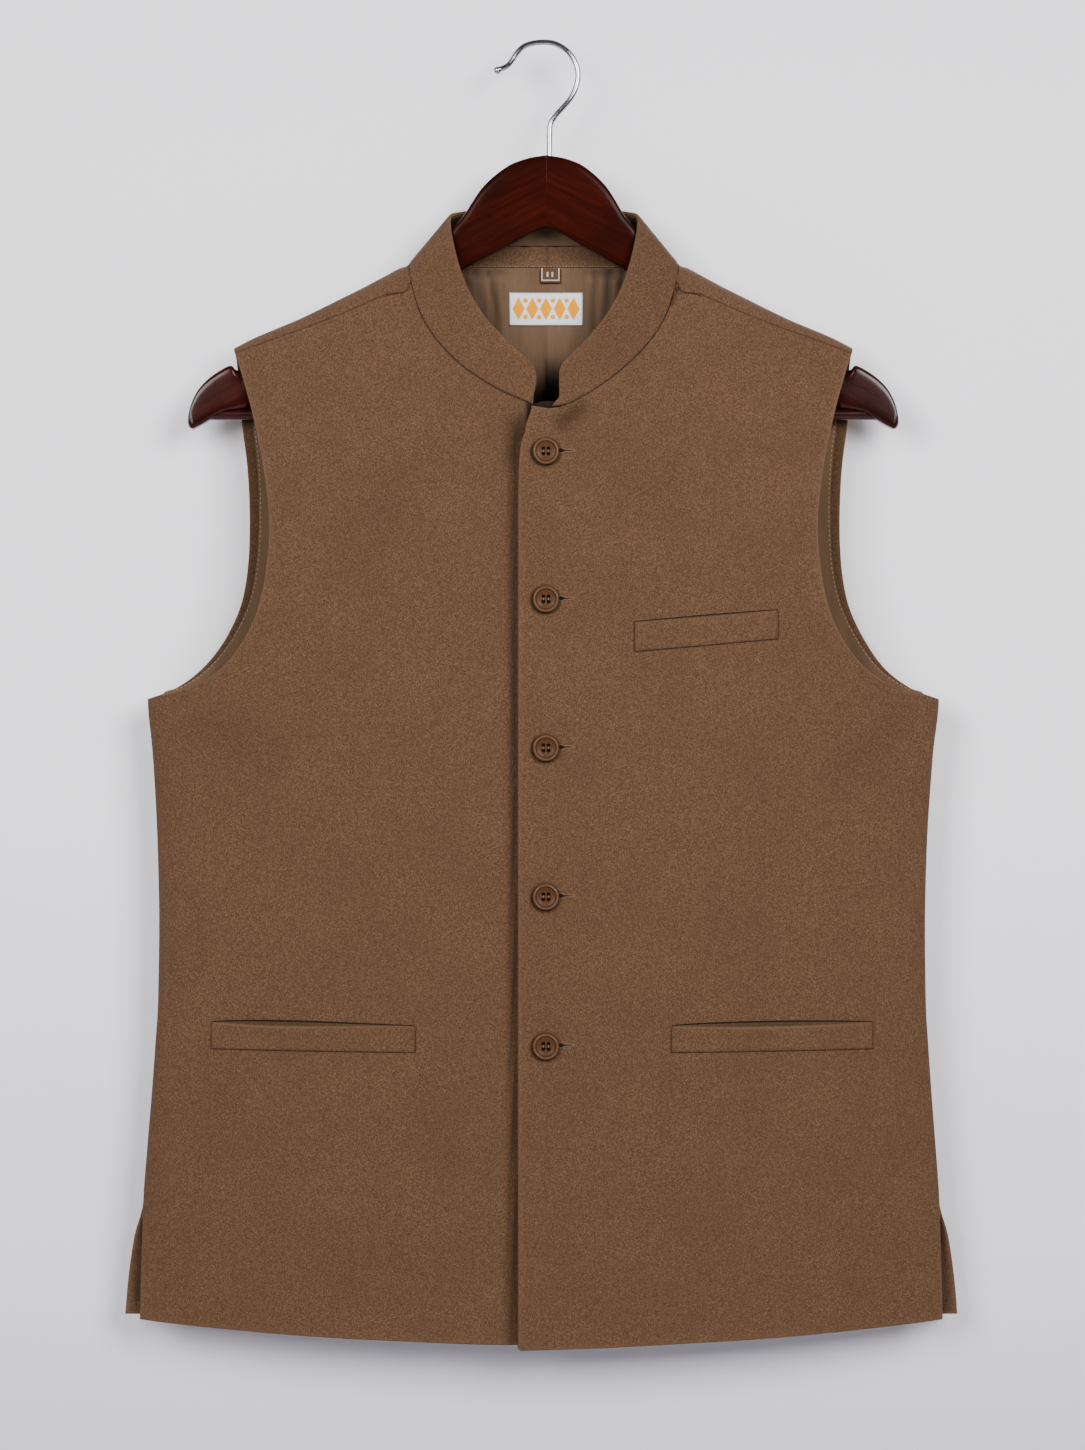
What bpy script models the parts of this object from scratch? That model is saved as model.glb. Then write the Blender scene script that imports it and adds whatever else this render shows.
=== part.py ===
# Nehru jacket: a sleeveless stand-collar waistcoat of felted wool, hung on a
# wooden suit hanger with a wire hook. The origin is the underside of the top
# of the hook, where a rail or pin holds it. +Z is up and the front faces -Y.
# Every table below is in millimetres; MM turns them into metres.
import bpy
import math
import numpy as np

MM = 0.001
WOOL_WALL = 2.2        # felted wool with its fusing
COLLAR_WALL = 2.4      # the collar's outer wool
LINING_WALL = 1.0
FACING_WALL = 1.2
GAP = 0.3              # between pieces that are sewn or lie on each other
SEAM_HALF = 0.18       # each side of a seam draws back by this much

LAP_LIFT = 1.6         # the upper front rises over the lower one
LAP_DIP = 1.5          # and the lower front sinks under it
UNDERLAP_EDGE = 18.0   # how far the lower front runs past the button line
OVERLAP_EDGE = -16.3

BUTTON_X = 1.2
BUTTON_HEIGHTS = (-261.1, -353.9, -447.2, -540.6, -634.5)
BUTTON_RADIUS = 8.4
BUTTON_THICK = 3.1
BUTTON_HOLE_RADIUS = 0.95
BUTTON_HOLE_STEP = 1.7

ARM_HALF_THICK = 6.0
WIRE_RADIUS = 1.85
BAR_RADIUS = 3.6
BAR_HEIGHT = -235.1

for old in list(bpy.data.objects):
    bpy.data.objects.remove(old, do_unlink=True)


# ---------------------------------------------------------------- tables
# height of the shoulder fold above each distance from the middle; inside the
# neck it is only a guide that lets the cloth fall to its full depth
RIDGE = (
    # out, height
    (0.0, -55.0), (30.0, -60.0), (55.0, -76.0), (72.0, -98.0), (80.0, -116.0),
    (84.0, -130.5), (86.0, -139.5), (93.0, -143.2), (105.0, -149.6),
    (117.0, -155.9), (130.0, -162.3), (156.0, -175.0), (186.0, -187.7),
    (197.3, -193.6), (225.0, -208.0), (260.0, -226.0))

# the cloth falls to its full depth below this line, over FULL_DROP
FALL_FROM = (
    # out, height
    (0.0, -44.0), (30.0, -54.0), (60.0, -76.0), (90.0, -104.0), (120.0, -135.0),
    (150.0, -163.0), (180.0, -186.0), (220.0, -208.0), (260.0, -226.0))
FULL_DROP = 150.0

# half width of the body at each height; above the underarm it is the width
# the chest would have if it were not cut away for the arm
BODY = (
    # height, half width, front depth, back depth, sideways shift
    (-55.0, 252.0, 29.0, 27.0, -0.5),
    (-230.0, 252.0, 30.5, 27.0, -0.5),
    (-300.0, 252.0, 32.0, 27.5, -0.5),
    (-416.0, 251.8, 32.0, 26.5, -0.4),
    (-449.0, 248.6, 31.5, 26.0, -0.7),
    (-480.0, 246.4, 31.0, 25.5, -0.9),
    (-512.0, 244.8, 30.5, 25.0, -1.1),
    (-560.0, 243.8, 30.0, 24.0, -1.2),
    (-608.0, 244.4, 29.5, 23.5, -1.3),
    (-640.0, 246.3, 29.0, 23.0, -1.4),
    (-672.0, 248.6, 28.5, 23.0, -1.5),
    (-703.0, 251.1, 28.0, 23.0, -1.6),
    (-735.0, 253.4, 27.0, 23.5, -1.7),
    (-765.0, 254.3, 26.0, 24.5, -1.7),
    (-830.0, 255.8, 25.0, 25.5, -1.7))

# neck seam and top edge of the collar, from the front end round to the
# middle of the back; the sideways figures are distances from the middle
COLLAR = (
    # place, seam out, seam height, top out, top deep, top height
    (0.0, 7.8, -230.8, 7.7, -26.2, -213.5),
    (1.0, 10.0, -230.2, 8.6, -24.6, -206.6),
    (2.0, 13.8, -228.9, 11.6, -23.2, -201.9),
    (3.0, 19.5, -226.6, 17.0, -22.0, -197.0),
    (4.0, 29.5, -221.8, 23.6, -21.0, -190.6),
    (5.0, 41.8, -214.5, 32.0, -20.2, -181.6),
    (6.0, 52.6, -206.0, 39.8, -19.4, -171.5),
    (7.0, 62.2, -196.6, 46.0, -18.6, -160.9),
    (8.0, 70.4, -186.4, 50.6, -17.6, -150.4),
    (9.0, 76.4, -176.4, 54.0, -16.4, -140.2),
    (10.0, 80.9, -165.0, 56.8, -14.2, -129.6),
    (11.0, 84.0, -153.4, 59.0, -10.4, -119.0),
    (12.0, 85.6, -140.6, 60.3, -2.2, -109.6),
    (13.0, 83.6, -134.6, 59.6, 3.0, -106.8),
    (14.0, 77.6, -130.6, 56.4, 6.8, -105.0),
    (15.0, 65.0, -127.8, 49.4, 10.8, -103.8),
    (16.0, 44.0, -126.1, 36.0, 13.0, -101.4),
    (17.0, 22.0, -125.5, 18.5, 13.8, -99.0),
    (18.0, 0.0, -125.4, 0.0, 14.0, -98.2))
FRONT_STATIONS = (0.0, 0.8, 1.8, 3.0, 4.2, 5.6, 7.0, 8.4, 9.7, 11.0)
RIDGE_STATION = 12.0
BACK_STATIONS = (11.0, 11.5, 12.0, 12.8, 13.7, 14.7, 15.8, 17.0, 18.0)

SHOULDER_SEAM = (
    # out, height, from the neck to the arm
    (84.0, -153.4), (113.0, -166.0), (146.0, -179.2), (172.0, -188.4), (195.4, -197.2))
SHOULDER_STEPS = 6

FRONT_ARMHOLE = (
    # out, height
    (195.4, -197.2), (193.6, -203.0), (189.0, -217.6), (183.2, -240.2), (177.6, -266.5),
    (174.3, -282.4), (172.9, -301.8), (173.9, -324.0), (177.4, -350.0),
    (183.4, -368.3), (192.5, -384.3), (203.0, -396.6), (216.0, -406.0),
    (230.0, -411.4), (242.0, -414.5), (251.8, -416.2))
BACK_ARMHOLE = (
    # out, height, behind the shoulder fold
    (197.3, -193.6), (196.0, -201.5), (194.6, -218.0), (193.1, -238.8), (190.9, -256.0),
    (189.2, -275.0), (188.5, -299.0), (189.4, -327.6), (192.3, -349.0),
    (197.6, -365.0), (205.5, -380.0), (217.0, -395.2), (230.0, -405.9),
    (241.5, -412.2), (251.8, -416.2))
ARMHOLE_STEPS = (0.0, 0.05, 0.15, 0.28, 0.42, 0.54, 0.64, 0.72, 0.79, 0.86, 0.93, 1.0)
BACK_ARMHOLE_STEPS = (0.0, 0.012, 0.032, 0.08, 0.18, 0.30, 0.42, 0.54, 0.64, 0.72, 0.79, 0.86,
                      0.93, 1.0)
SIDE_SEAM_HEIGHTS = (-416.2, -450.0, -492.0, -540.0, -592.0, -642.0, -690.0, -734.0)
FRONT_VENT = (
    # out, height, below the end of the side seam
    (253.4, -734.0), (254.2, -758.0), (254.9, -784.0), (255.5, -810.6))
BACK_VENT = (
    (253.4, -734.0), (259.8, -758.0), (263.8, -784.0), (266.0, -808.8))
HEM_SAG_FRONT = 2.6
HEM_SAG_BACK = 3.0

HUB_SHIFT = 1.5
ARM = (
    # top out, top height, lower out, lower height
    (0.0, -70.4, 0.0, -116.5),
    (5.2, -71.1, 3.2, -117.3),
    (10.6, -72.1, 6.6, -118.6),
    (16.5, -73.9, 10.6, -120.4),
    (22.5, -76.4, 15.0, -122.8),
    (29.0, -80.8, 20.4, -126.0),
    (35.0, -86.0, 26.0, -129.0),
    (40.6, -92.2, 32.0, -132.2),
    (45.9, -100.3, 38.0, -135.6),
    (51.2, -108.9, 44.6, -139.2),
    (59.0, -117.6, 52.0, -143.4),
    (70.0, -130.8, 61.5, -149.4),
    (84.0, -145.8, 75.5, -158.4),
    (100.0, -155.2, 92.5, -169.0),
    (127.0, -169.4, 119.5, -183.6),
    (155.0, -185.2, 148.0, -199.8),
    (180.0, -200.4, 173.5, -214.6),
    (190.6, -206.8, 186.0, -221.8),
    (195.4, -206.9, 192.6, -226.4),
    (198.7, -204.2, 199.0, -230.8),
    (205.2, -207.2, 205.4, -234.6),
    (212.6, -212.4, 212.2, -238.8),
    (218.9, -219.0, 217.2, -241.9),
    (223.2, -227.0, 220.4, -243.6),
    (225.4, -235.0, 222.4, -244.6),
    (225.9, -241.0, 224.0, -244.4))

HOOK = (
    # across, height
    (3.4, -69.8), (3.5, -62.0), (3.6, -56.0), (4.1, -50.4), (7.0, -45.4), (11.7, -40.1),
    (16.6, -34.3), (20.0, -28.0), (21.6, -21.0), (21.0, -14.2), (17.6, -7.0),
    (11.7, -1.4), (5.7, 1.3), (-0.5, 1.85), (-7.6, 1.1), (-13.1, -1.0),
    (-17.5, -5.4), (-20.4, -9.9), (-23.5, -13.3), (-27.6, -15.2))

CHEST_WELT = ((56.5, -368.2), (147.7, -360.5), (147.7, -378.8), (56.5, -387.0))
POCKET_WELT_OUT = ((80.2, -622.0), (209.0, -620.4), (209.0, -637.4), (80.2, -638.9))
LABEL = (-22.5, 25.1, -176.0, -154.8)
SIZE_TAB = (-2.6, 10.9, -148.8, -139.8)


# ---------------------------------------------------------------- curves
def column(table, name):
    return np.array([row[name] for row in table], float)


def read_off(table, at, name=1):
    """One column of a table, read at any place along its first column."""
    places = column(table, 0)
    values = column(table, name)
    if places[0] > places[-1]:
        places = places[::-1]
        values = values[::-1]
    step = np.diff(places)
    rise = np.diff(values) / step
    slope = np.zeros(len(places))
    slope[0] = rise[0]
    slope[-1] = rise[-1]
    for k in range(1, len(places) - 1):
        if rise[k - 1] * rise[k] > 0.0:
            near = 2.0 * step[k] + step[k - 1]
            far = step[k] + 2.0 * step[k - 1]
            slope[k] = (near + far) / (near / rise[k - 1] + far / rise[k])
    at = np.clip(np.asarray(at, float), places[0], places[-1])
    k = np.clip(np.searchsorted(places, at, side="right") - 1, 0, len(step) - 1)
    t = (at - places[k]) / step[k]
    h00 = (1.0 + 2.0 * t) * (1.0 - t) ** 2
    h10 = t * (1.0 - t) ** 2
    h01 = t * t * (3.0 - 2.0 * t)
    h11 = t * t * (t - 1.0)
    return (h00 * values[k] + h10 * step[k] * slope[k]
            + h01 * values[k + 1] + h11 * step[k] * slope[k + 1])


def run(points):
    """How far along a line each of its points is, from 0 to 1."""
    p = np.asarray(points, float)
    steps = np.sqrt(((p[1:] - p[:-1]) ** 2).sum(axis=1))
    total = np.concatenate(([0.0], np.cumsum(steps)))
    return total / total[-1]


def along(points, places):
    """Points at the given shares of the length of a smooth line."""
    p = np.asarray(points, float)
    s = run(p)
    step = np.diff(s)
    rise = np.diff(p, axis=0) / step[:, None]
    slope = np.zeros_like(p)
    slope[0] = rise[0]
    slope[-1] = rise[-1]
    for k in range(1, len(p) - 1):
        share = step[k - 1] + step[k]
        slope[k] = (rise[k] * step[k - 1] + rise[k - 1] * step[k]) / share
    at = np.clip(np.asarray(places, float), 0.0, 1.0)
    k = np.clip(np.searchsorted(s, at, side="right") - 1, 0, len(step) - 1)
    t = ((at - s[k]) / step[k])[:, None]
    h = step[k][:, None]
    return ((1.0 + 2.0 * t) * (1.0 - t) ** 2 * p[k] + t * (1.0 - t) ** 2 * h * slope[k]
            + t * t * (3.0 - 2.0 * t) * p[k + 1] + t * t * (t - 1.0) * h * slope[k + 1])


def ease(value):
    value = np.clip(value, 0.0, 1.0)
    return value * value * (3.0 - 2.0 * value)


# ---------------------------------------------------------------- the form
def shift_of(out, height):
    """The body hangs a little to one side lower down."""
    return read_off(BODY, height, 4) * np.clip(np.abs(out) / 240.0, 0.0, 1.0)


def depth(out, height, side):
    """How far the cloth stands from the plane of the hanger; side -1 front, 1 back."""
    out = np.abs(np.asarray(out, float))
    height = np.asarray(height, float)
    below = np.clip(read_off(RIDGE, out) - height, 0.0, None)
    width = read_off(BODY, height, 1)
    vent = ease((-734.0 - height) / 50.0)
    if side < 0:
        full = read_off(BODY, height, 2)
        rest = 3.4 * vent
        turn = 0.5 + 0.32 * vent
        width = width + 0.6 * vent
    else:
        full = read_off(BODY, height, 3)
        rest = 8.5 * vent
        turn = 0.5 + 0.38 * vent
        flare = np.interp(-height, [734.0, 750.0, 768.0, 788.0, 808.8, 840.0],
                          [0.0, 4.3, 7.6, 10.0, 11.4, 13.0])
        width = width + flare
    share = np.clip(out / width, 0.0, 1.0)
    body = rest + (full - rest) * np.clip(1.0 - share ** 2.5, 0.0, 1.0) ** turn
    shoulder = 11.4
    fallen = np.clip(read_off(FALL_FROM, out) - height, 0.0, None)
    grown = shoulder + (body - shoulder) * ease(fallen / FULL_DROP)
    grown = np.where(body < shoulder, np.minimum(body, grown), grown)
    rounded = np.sqrt(np.clip(1.0 - (1.0 - np.clip(below / 14.0, 0.0, 1.0)) ** 2, 0.0, 1.0))
    deep = grown * rounded
    if side > 0:
        # two soft folds fall from the shoulder blades to the hem
        fall = ease((-330.0 - height) / 260.0)
        fold = np.exp(-((out - 118.0 - 8.0 * fall) / 26.0) ** 2)
        deep = deep + 1.6 * fold * fall - 1.0 * np.exp(-(out / 30.0) ** 2) * fall
    else:
        # the fronts hollow a little beside the pockets and roll at the hem
        low = ease((-560.0 - height) / 200.0)
        deep = deep + 1.1 * low * np.exp(-((out - 150.0) / 34.0) ** 2)
        deep = deep - 0.9 * low * np.exp(-((out - 82.0) / 26.0) ** 2)
    return side * deep


def front_deep(across, height, hand):
    """The face of a front piece; hand 1 laps over, hand -1 lies under."""
    deep = depth(across, height, -1)
    if hand > 0:
        return deep - LAP_LIFT * (1.0 - ease((across - 30.0) / 50.0))
    return deep + LAP_DIP * ease((across + 42.0) / 24.0)


def patch(top, bottom, left, right):
    """Fills a four-sided piece from its edges, rows running from top to bottom."""
    top, bottom = np.asarray(top, float), np.asarray(bottom, float)
    left, right = np.asarray(left, float), np.asarray(right, float)
    u = (0.5 * (run(top) + run(bottom)))[None, :, None]
    v = (0.5 * (run(left) + run(right)))[:, None, None]
    flat = (1.0 - v) * top[None] + v * bottom[None]
    flat = flat + (1.0 - u) * left[:, None] + u * right[:, None]
    corners = ((1.0 - u) * (1.0 - v) * top[0] + u * (1.0 - v) * top[-1]
               + (1.0 - u) * v * bottom[0] + u * v * bottom[-1])
    return flat - corners


def seam_point(place, hand):
    """A point of the neck seam, out to one hand from the middle of the collar."""
    out = read_off(COLLAR, place, 1)
    height = read_off(COLLAR, place, 2)
    across = hand * out + 2.0 * (1.0 - ease(out / 70.0))
    if hand > 0 and place < 11.0:
        height = height - 2.2 * (1.0 - ease(out / 50.0))
    return float(across), float(height)


def face_normals(grid):
    """The way out of the cloth at each point of a piece."""
    across = np.gradient(grid, axis=1)
    down = np.gradient(grid, axis=0)
    normal = np.cross(across, down)
    size = np.sqrt((normal ** 2).sum(axis=-1, keepdims=True))
    return normal / np.maximum(size, 1e-9)


def mitre(first, second):
    """One shared direction where two pieces meet, long enough to keep both walls."""
    both = first + second
    both = both / np.maximum(np.sqrt((both ** 2).sum(axis=-1, keepdims=True)), 1e-9)
    lean = np.clip((both * first).sum(axis=-1, keepdims=True), 0.72, 1.0)
    return both / lean


def draw_back(grid, rows=(0, 0), columns=(0, 0), far=SEAM_HALF):
    """Pulls chosen edges of a piece back inside itself by a little."""
    grid = grid.copy()
    lines = []
    if rows[0]:
        lines.append((grid[0], grid[1]))
    if rows[1]:
        lines.append((grid[-1], grid[-2]))
    if columns[0]:
        lines.append((grid[:, 0], grid[:, 1]))
    if columns[1]:
        lines.append((grid[:, -1], grid[:, -2]))
    moves = []
    for edge, inner in lines:
        way = inner[..., :3] - edge[..., :3]
        size = np.sqrt((way ** 2).sum(axis=-1, keepdims=True))
        share = np.minimum(far / np.maximum(size, 1e-9), 0.45)
        moves.append((edge, (inner - edge) * share))
    for edge, move in moves:
        edge += move
    return grid


# ---------------------------------------------------------------- building
def material(name, colour, rough=0.8, metal=0.0):
    made = bpy.data.materials.new(name)
    made.use_nodes = True
    shader = made.node_tree.nodes["Principled BSDF"]
    shader.inputs["Base Color"].default_value = (*colour, 1.0)
    shader.inputs["Roughness"].default_value = rough
    shader.inputs["Metallic"].default_value = metal
    return made


def solid(name, points, faces, look):
    mesh = bpy.data.meshes.new(name)
    mesh.from_pydata([tuple(float(c) * MM for c in p) for p in points], [], faces)
    mesh.update()
    made = bpy.data.objects.new(name, mesh)
    bpy.context.scene.collection.objects.link(made)
    mesh.materials.append(look)
    return made


def wall(name, grid, normals, near, thick, look):
    """A sheet with a wall: its face lies `near` inside the grid, its back deeper."""
    rows, columns = grid.shape[:2]
    outer = grid - normals * near
    inner = grid - normals * (near + thick)
    points = list(outer.reshape(-1, 3)) + list(inner.reshape(-1, 3))
    size = rows * columns
    faces = []
    for i in range(rows - 1):
        for j in range(columns - 1):
            a = i * columns + j
            b = a + 1
            c = a + columns + 1
            d = a + columns
            bulge = grid[i, j] + grid[i + 1, j + 1] - grid[i, j + 1] - grid[i + 1, j]
            if float(np.dot(bulge, normals[i, j] + normals[i + 1, j + 1])) > -0.02:
                halves = ((a, b, c), (a, c, d))
            else:
                halves = ((a, b, d), (b, c, d))
            faces += halves
            faces += [tuple(size + p for p in reversed(half)) for half in halves]
    rim = [i * columns for i in range(rows)]
    rim += [(rows - 1) * columns + j for j in range(1, columns)]
    rim += [i * columns + columns - 1 for i in range(rows - 2, -1, -1)]
    rim += [j for j in range(columns - 2, 0, -1)]
    for k, a in enumerate(rim):
        b = rim[(k + 1) % len(rim)]
        lean_a = ((np.asarray(points[a]) - np.asarray(points[size + b])) ** 2).sum()
        lean_b = ((np.asarray(points[b]) - np.asarray(points[size + a])) ** 2).sum()
        if lean_a < lean_b:
            faces += [(a, b, size + b), (a, size + b, size + a)]
        else:
            faces += [(a, b, size + a), (b, size + b, size + a)]
    i, j = rows // 2, columns // 2
    probe = np.cross(grid[i, j] - grid[i, j - 1], grid[i, j] - grid[i - 1, j])
    if float(np.dot(probe, normals[i, j])) < 0.0:
        faces = [tuple(reversed(face)) for face in faces]
    return solid(name, points, faces, look)


def loft(name, rings, look):
    """A body through a row of equal rings, closed at both ends."""
    rings = np.asarray(rings, float)
    count, size = rings.shape[:2]
    points = list(rings.reshape(-1, 3))
    faces = []
    for i in range(count - 1):
        for j in range(size):
            k = (j + 1) % size
            faces.append((i * size + j, i * size + k, (i + 1) * size + k, (i + 1) * size + j))
    faces.append(tuple(range(size - 1, -1, -1)))
    faces.append(tuple((count - 1) * size + j for j in range(size)))
    centre = rings[count // 2].mean(axis=0)
    a = rings[count // 2, 0]
    b = rings[count // 2, 1]
    c = rings[count // 2 + 1, 0]
    if float(np.dot(np.cross(b - a, c - a), a - centre)) < 0.0:
        faces = [tuple(reversed(face)) for face in faces]
    return solid(name, points, faces, look)


WOOL = material("brown_wool", (0.175, 0.092, 0.050), 0.92)
LINING = material("tan_lining", (0.290, 0.175, 0.110), 0.45)
WOOD = material("mahogany", (0.050, 0.010, 0.006), 0.28)
CHROME = material("chrome", (0.75, 0.76, 0.78), 0.12, 1.0)
HORN = material("brown_button", (0.100, 0.045, 0.025), 0.30)
LABEL_CLOTH = material("label_cloth", (0.86, 0.84, 0.80), 0.75)
TAB_CLOTH = material("size_tab_cloth", (0.16, 0.09, 0.05), 0.70)


# ---------------------------------------------------------------- panels
def front_grid(hand):
    """A front from the neck and shoulder down to the hem, as across, deep, height."""
    seams = [seam_point(place, hand) for place in FRONT_STATIONS]
    seams = [(hand * a, h) for a, h in seams]
    if hand > 0:
        top = [(-12.0, -239.6), (-9.0, -236.2), (-3.0, -234.6), (4.0, -233.6)] + seams
    else:
        top = [(-UNDERLAP_EDGE, -238.0), (-12.0, -233.4), (-5.0, -231.2), (1.0, -230.9)] + seams
    top += [tuple(p) for p in along(SHOULDER_SEAM, np.linspace(0.0, 1.0, SHOULDER_STEPS + 1))[1:]]
    arm = along(FRONT_ARMHOLE, ARMHOLE_STEPS)
    right = [tuple(p) for p in arm]
    right += [(float(read_off(BODY, h, 1)), h) for h in SIDE_SEAM_HEIGHTS[1:]]
    right += list(FRONT_VENT[1:])
    hem_in = -16.3 if hand > 0 else -UNDERLAP_EDGE
    hem_low = -826.8 if hand > 0 else -824.4
    count = len(right)
    heights = np.array([h for _, h in right])
    ramp = run(np.stack([np.zeros(count), heights], axis=1))
    start = top[0][1]
    left = []
    for k in range(count):
        share = 0.62 * ramp[k] + 0.38 * (k / (count - 1.0))
        left.append((hem_in, start + (hem_low - start) * share))
    left[0] = top[0]
    if hand > 0:
        for k in range(1, count):
            drop = start - left[k][1]
            left[k] = (hem_in + 4.5 * math.exp(-((drop / 9.0) ** 1.4)), left[k][1])
    columns = len(top)
    spread = np.array([p[0] for p in top])
    spread = (spread - spread[0]) / (spread[-1] - spread[0])
    spread = 0.45 * spread + 0.55 * np.linspace(0.0, 1.0, columns)
    spread = 0.25 * spread + 0.75 * np.sin(spread * math.pi / 2.0) ** 1.05
    across = hem_in + (FRONT_VENT[-1][0] - hem_in) * spread
    share = (across - hem_in) / (FRONT_VENT[-1][0] - hem_in)
    low = hem_low + (FRONT_VENT[-1][1] - hem_low) * share - HEM_SAG_FRONT * 4.0 * share * (1.0 - share)
    bottom = np.stack([across, low], axis=1)
    bottom[0] = left[-1]
    bottom[-1] = right[-1]
    flat = patch(top, bottom, left, right)
    out = flat[..., 0]
    height = flat[..., 1]
    deep = front_deep(hand * out, height, hand)
    return np.stack([hand * out + shift_of(out, height), deep, height], axis=-1)


def back_grids(hand):
    """Half the back: a band from the seams to the shoulder fold, then the rest."""
    seams = []
    for place in BACK_STATIONS[::-1]:
        across, height = seam_point(place, hand)
        seams.append((hand * across, height, 1.0 if place > RIDGE_STATION else -1.0))
    shoulder = along(SHOULDER_SEAM, np.linspace(0.0, 1.0, SHOULDER_STEPS + 1))[1:]
    edge = seams + [(p[0], p[1], -1.0) for p in shoulder]
    columns = len(edge)
    fold = []
    turned = len([s for s in seams if s[2] > 0])
    for k, (out, height, side) in enumerate(edge):
        if k < turned:
            share = k / float(turned)
            fold.append((out + 3.2 * share ** 2, height - 13.4 + 6.0 * share ** 3, 1.0))
        else:
            share = (k - turned) / float(columns - 1 - turned)
            start = 89.0
            far = start + (197.3 - start) * share
            fold.append((far, float(read_off(RIDGE, far)), 1.0))
    return edge, fold, turned


def back_band(edge, fold, hand, rows=3):
    grid = []
    for i in range(rows + 1):
        share = i / float(rows)
        line = []
        for (out, height, side), (f_out, f_height, _) in zip(edge, fold):
            at = out + (f_out - out) * share
            ridge_a = float(read_off(RIDGE, out))
            ridge_b = float(read_off(RIDGE, f_out))
            below = (ridge_a - height) * side
            to = ridge_b - f_height
            mixed = below + (to - below) * share
            if side < 0:
                turn = math.sin(share * math.pi / 2.0) ** 1.0
                mixed = below * (1.0 - turn)
            here = -1 if mixed < 0.0 else 1
            level = float(read_off(RIDGE, at)) - abs(mixed)
            if side > 0:
                level = height + (f_height - height) * share
                here = 1
            deep = float(depth(at, level, here))
            if side < 0 and share >= 1.0:
                deep = 0.0
            line.append((hand * at + float(shift_of(at, level)), deep, level))
        grid.append(line)
    return np.array(grid)


def back_main(fold, hand):
    top = [(out, height) for out, height, _ in fold]
    arm = along(BACK_ARMHOLE, BACK_ARMHOLE_STEPS)
    right = [tuple(p) for p in arm]
    right += [(float(read_off(BODY, h, 1)), h) for h in SIDE_SEAM_HEIGHTS[1:]]
    right += list(BACK_VENT[1:])
    count = len(right)
    heights = np.array([h for _, h in right])
    ramp = run(np.stack([np.zeros(count), heights], axis=1))
    start = top[0][1]
    hem_low = -815.0
    left = [(0.0, start + (hem_low - start) * (0.93 * r + 0.07 * (k / (count - 1.0))))
            for k, r in enumerate(ramp)]
    left[0] = top[0]
    columns = len(top)
    spread = np.linspace(0.0, 1.0, columns)
    spread = 0.25 * spread + 0.75 * np.sin(spread * math.pi / 2.0) ** 1.05
    across = BACK_VENT[-1][0] * spread
    low = hem_low + (BACK_VENT[-1][1] - hem_low) * spread
    low = low - HEM_SAG_BACK * 4.0 * spread * (1.0 - spread) * 0.3
    bottom = np.stack([across, low], axis=1)
    bottom[-1] = right[-1]
    flat = patch(top, bottom, left, right)
    out = flat[..., 0]
    height = flat[..., 1]
    deep = depth(out, height, 1)
    deep[0] = [0.0 if abs(height[0, k] - float(read_off(RIDGE, out[0, k]))) < 1e-6
               else deep[0, k] for k in range(columns)]
    return np.stack([hand * out + shift_of(out, height), deep, height], axis=-1)


left_grid = front_grid(1)
right_grid = front_grid(-1)
edge, fold, turned = back_grids(1)
edge_r, fold_r, turned_r = back_grids(-1)
back_a = np.concatenate([back_band(edge, fold, 1), back_main(fold, 1)[1:]], axis=0)
back_b = np.concatenate([back_band(edge_r, fold_r, -1), back_main(fold_r, -1)[1:]], axis=0)
back_all = np.concatenate([back_b[:, :0:-1], back_a], axis=1)
back_all[:, len(edge) - 1, 0] = 0.5 * (back_a[:, 0, 0] + back_b[:, 0, 0])


# ---------------------------------------------------------------- collar
def collar_grid(rows=3):
    places = list(FRONT_STATIONS[:-1]) + list(BACK_STATIONS)
    line = [(-1, p) for p in places] + [(1, p) for p in places[-2::-1]]
    grid = []
    for i in range(rows + 1):
        share = i / float(rows)
        ring = []
        for hand, place in line:
            across, height = seam_point(place, hand)
            if place <= 11.0:
                deep = float(front_deep(across, height, hand))
            elif place <= RIDGE_STATION:
                deep = float(depth(across, height, -1))
            else:
                deep = float(depth(across, height, 1))
            top_out = float(read_off(COLLAR, place, 3))
            top = (hand * top_out + 2.0 * (1.0 - float(ease(top_out / 60.0))),
                   float(read_off(COLLAR, place, 4)), float(read_off(COLLAR, place, 5)))
            foot = (across + float(shift_of(across, height)), deep, height)
            ring.append([f + (t - f) * share for f, t in zip(foot, top)])
        grid.append(ring)
    return np.array(grid)


collar = collar_grid()


# ---------------------------------------------------------------- shared seams
n_left = -face_normals(left_grid)
n_right = face_normals(right_grid)
n_back = face_normals(back_all)
n_collar = -face_normals(collar)
for normals, first, ends in ((n_left, 1, (-1,)), (n_right, 1, (-1,)), (n_back, 5, (0, -1))):
    # along the armholes the way out is carried on from inside the piece
    last_row = first + len(ARMHOLE_STEPS) - 2
    if first == 5:
        last_row = 3 + len(BACK_ARMHOLE_STEPS) - 2
    for end in ends:
        step = 1 if end == 0 else -1
        carried = (2.0 * normals[first:last_row + 1, end + step]
                   - normals[first:last_row + 1, end + 2 * step])
        size = np.sqrt((carried ** 2).sum(axis=-1, keepdims=True))
        normals[first:last_row + 1, end] = carried / size
middle = len(edge) - 1
neck_in = 4
neck_count = len(FRONT_STATIONS)
corner = neck_in + neck_count - 1
band_neck = len(BACK_STATIONS)
places = len(FRONT_STATIONS) - 1

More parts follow.
